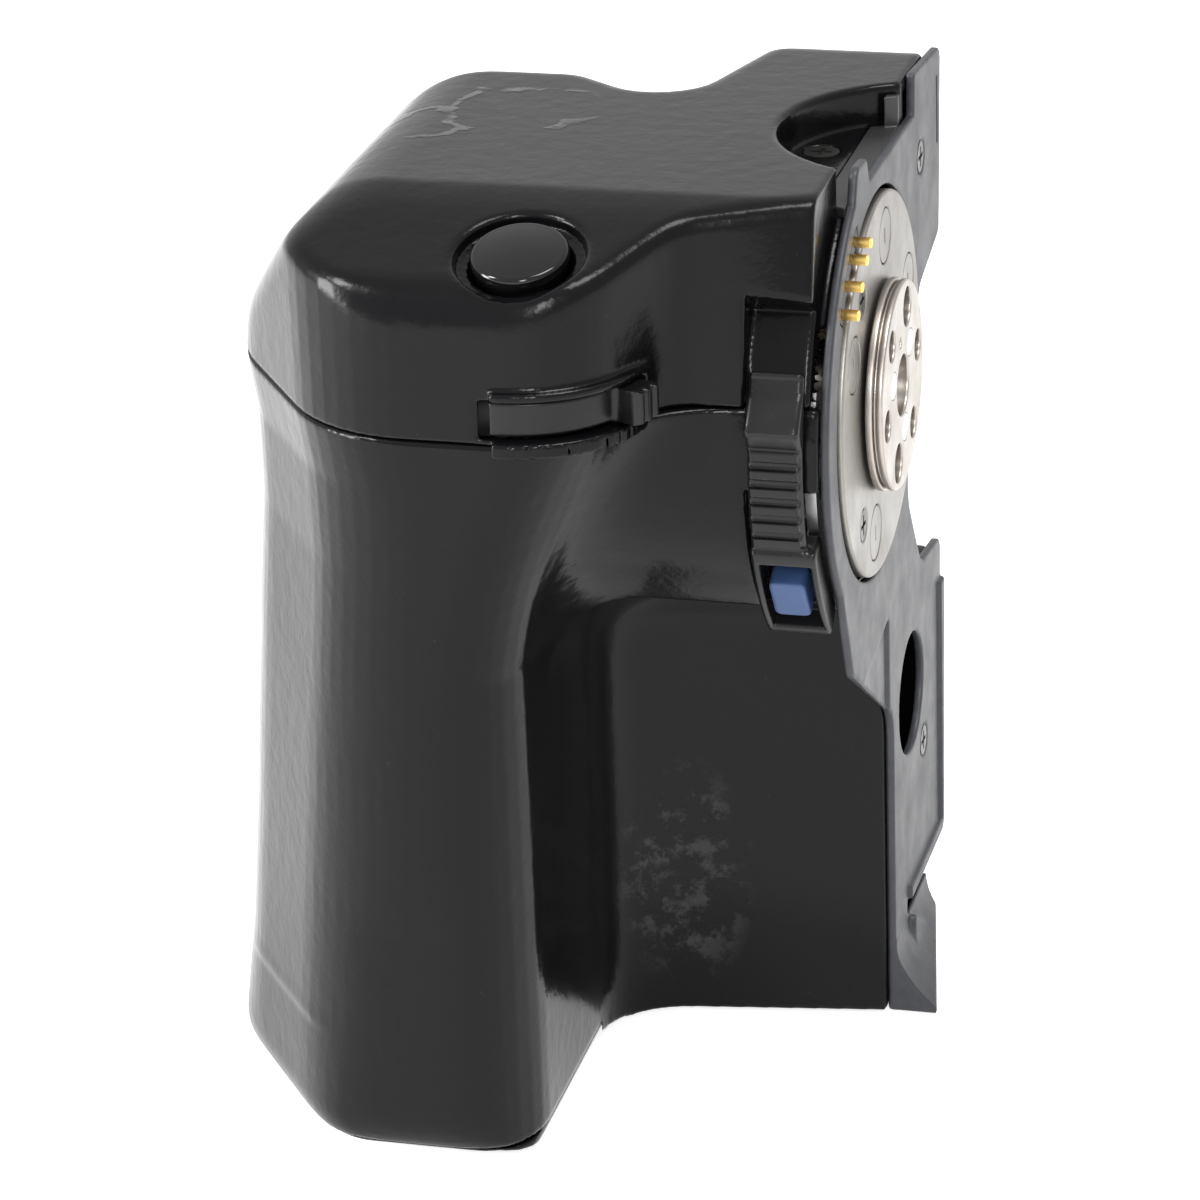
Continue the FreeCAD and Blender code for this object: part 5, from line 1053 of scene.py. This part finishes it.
def lock_piece():
    g = Grid((-8.6, -31.2, -23.2), (-0.9, -13.6, 12.2), 0.13)
    r = g.tube_x(0, 0, 0)
    a = np.degrees(np.arctan2(g.z, -g.y))
    ridge = [(-60.0, 28.5), (4.2, 28.5), (6.2, 28.9), (9.0, 30.3), (10.0, 30.5), (11.2, 30.3), (16.5, 29.0),
             (18.0, 28.5), (20.5, 28.55), (22.0, 28.9)]
    top = np.interp(a, [p[0] for p in ridge], [p[1] for p in ridge])
    slab = smax((r - top) * 0.9, 27.3 - r, 0.3)
    turn = common(np.radians(LOCK_ANGLES[0] - a), np.radians(a - LOCK_ANGLES[1])) * 28.0
    f = smax(smax(slab, turn, 0.6), span(g.x, LOCK_X), 0.7)
    for i in range(6):
        angles = (-16.75 + 4.0 * i, -14.45 + 4.0 * i)
        rib = g.arc_x((28.0, 29.15), (LOCK_X[0] + 0.35, LOCK_X[1] - 0.35), angles)
        f = smin(f, rib + 0.1, 0.45)
    turn = common(np.radians(LOCK_ANGLES[0] - a), np.radians(a + 18.5)) * 28.0
    block = smax(smax(span(r, (25.2, 29.0)), turn, 0.6), span(g.x, (LOCK_X[0], -1.3)), 0.5)
    f = smin(f, block, 0.5)
    f = fuse(f, g.arc_x((22.7, 25.6), (-3.8, -2.7), (LOCK_ANGLES[0], -18.5)))
    f = smax(f, -g.arc_x((26.6, 60.0), (-7.4, -2.0), (-44.8, -22.0)), 0.5)
    turn = math.radians(KEY_ANGLE)
    v = g.y * math.sin(turn) + g.z * math.cos(turn)
    bore = common(np.abs(g.x - KEY_X) - 2.3, np.abs(v) - 3.2, g.y)
    f = cut(f, bore)
    piece("lock_skin", g, f, "lock_lever", "lever_black", "lock_lever")


def key_piece():
    g = Grid((-7.4, -26.2, -19.2), (-2.4, -18.6, -11.0), 0.09)
    a = math.radians(KEY_ANGLE)
    out = -g.y * math.cos(a) + g.z * math.sin(a)
    v = g.y * math.sin(a) + g.z * math.cos(a)
    plan = smax(np.abs(g.x - KEY_X) - 2.0, np.abs(v) - 2.9, 0.8)
    f = smax(plan, common(out - 28.6, 25.6 - out), 0.5)
    piece("key_skin", g, f, "lock_button", "key_blue", "lock_button")


def lever_piece():
    g = Grid((-34.5, -43.0, 7.1), (-14.2, -22.6, 11.5), 0.12)
    centre = (NOSE_X, NOSE_Y)
    z = (LEVER_Z[0] + 0.15, LEVER_Z[1] - 0.15)
    band_r = NOSE_R - 0.7
    r = g.tube_z(NOSE_X, NOSE_Y, 0)
    band = smax(span(r, (band_r - 1.4, band_r)), g.arc_z((0.0, 99.0), z, (-95.0, 24.0), centre), 0.4)
    tab = smax(span(r, (band_r - 0.5, band_r + 3.0)), g.arc_z((0.0, 99.0), z, (-27.0, -12.0), centre), 0.7)
    f = smin(band, tab, 0.8)
    for a in (-26.0, -20.8, -15.6):
        rib = g.arc_z((band_r + 2.5, band_r + 3.35), (z[0] + 0.2, z[1] - 0.2), (a + 0.2, a + 2.4), centre)
        f = smin(f, rib, 0.4)
    a = math.radians(-50.0)
    u = (g.x - NOSE_X) * math.cos(a) + (g.y - NOSE_Y) * math.sin(a)
    v = -(g.x - NOSE_X) * math.sin(a) + (g.y - NOSE_Y) * math.cos(a)
    arm = common(span(u, (0, band_r - 1.0)), np.abs(v) - 2.0, span(g.z, (z[0], z[0] + 1.4)))
    eye = common(r - 3.0, span(g.z, (z[0], z[0] + 3.0)))
    f = fuse(fuse(f, arm), eye)
    f = cut(f, r - 1.25)
    piece("lever_skin", g, f, "mode_lever", "lever_black", "mode_lever")


def insert_piece():
    g = Grid((-4.3, -12.4, 22.0), (-0.8, 19.6, 27.3), 0.12)
    cx, cy, cr, floor = RECESS
    inside = g.tube_z(cx, cy, cr - 0.05)
    base = g.box((-4.0, -1.0), (-20, 30), (floor - 1.2, floor))
    wall = g.box((-2.4, -1.0), (16.0, 30.0), (floor - 0.1, TOP_Z - 1.6))
    wall = common(wall, -g.tube_z(cx, cy, cr - 1.1))
    f = smax(fuse(base, wall), inside, 0.2)
    piece("insert_skin", g, f, "grip", "insert_black", "recess_insert")


housing_piece()
grip_piece()
cover_piece()
plate_piece()
disc_piece()
stud_piece()
for i, a in enumerate(DISC_SCREW_ANGLES):
    y, z = polar(STUD_RING_R, a)
    screw_piece("disc_screw_%d" % (i + 1), y, z, DISC_FACE_X, first_of_row(i, "disc_screws"))
for i, (y, z) in enumerate(PLATE_SCREWS):
    screw_piece("plate_screw_%d" % (i + 1), y, z, 0.0, first_of_row(i, "plate_screws"))
hub_piece()
rivet_piece()
pin_pieces()
button_piece()
lock_piece()
key_piece()
lever_piece()
insert_piece()


# Stage and light

FILL, FLOOR_GLOW = 0.3, 0.72
LAMP_TARGET = (-0.03, -0.01, -0.02)


def seen_directly(tree):
    """1 for rays from the camera and for rays reflected or refracted by the object."""
    path = node(tree, "LightPath").outputs
    first = math_node(tree, "ADD", path["Is Camera Ray"], path["Is Glossy Ray"])
    return math_node(tree, "ADD", first, path["Is Transmission Ray"])


def paper_glow(tree, shader):
    """The glow that makes the paper white leaves the object's shadow on it."""
    glow = node(tree, "Emission", Strength=math_node(tree, "MULTIPLY", seen_directly(tree), FLOOR_GLOW))
    total = node(tree, "AddShader")
    tree.links.new(shader.outputs[0], total.inputs[0])
    tree.links.new(glow.outputs[0], total.inputs[1])
    tree.links.new(total.outputs[0], tree.nodes["Material Output"].inputs[0])


def floor():
    mesh = bpy.data.meshes.new("floor")
    s, z = 3.0, (BOTTOM_Z - 0.2) * MM
    mesh.from_pydata([(-s, -s, z), (s, -s, z), (s, s, z), (-s, s, z)], [], [(0, 1, 2, 3)])
    mesh.materials.append(material("floor_paper", (0.9, 0.9, 0.9), 0.9, 0.0, paper_glow, 0.0))
    linked("floor", mesh)


def area(name, place, size, power):
    data = bpy.data.lights.new(name, "AREA")
    data.shape = "RECTANGLE"
    data.size, data.size_y = size
    data.energy = power
    obj = linked(name, data)
    obj.location = place
    back = (Vector(place) - Vector(LAMP_TARGET)).normalized()
    obj.rotation_euler = back.to_track_quat("Z", "Y").to_euler()


def world():
    w = bpy.data.worlds.new("studio")
    bpy.context.scene.world = w
    w.use_nodes = True
    tree = w.node_tree
    tree.nodes.clear()
    blend = node(tree, "MixShader", Fac=seen_directly(tree))
    for i, strength in ((1, FILL), (2, 1.0)):
        light = node(tree, "Background", Color=(1, 1, 1, 1), Strength=strength)
        tree.links.new(light.outputs[0], blend.inputs[i])
    node(tree, "OutputWorld", Surface=blend.outputs[0])


floor()
world()
area("left_box", (-0.80, -0.38, 0.12), (0.26, 0.44), 11.0)
area("top_box", (0.32, -0.14, 0.95), (0.4, 0.4), 8.0)
area("nose_box", (-0.62, -0.42, 0.60), (0.14, 0.30), 6.0)
area("front_box", (0.20, -0.95, 0.42), (0.16, 0.40), 5.0)

view = bpy.context.scene.view_settings
view.view_transform = "Standard"
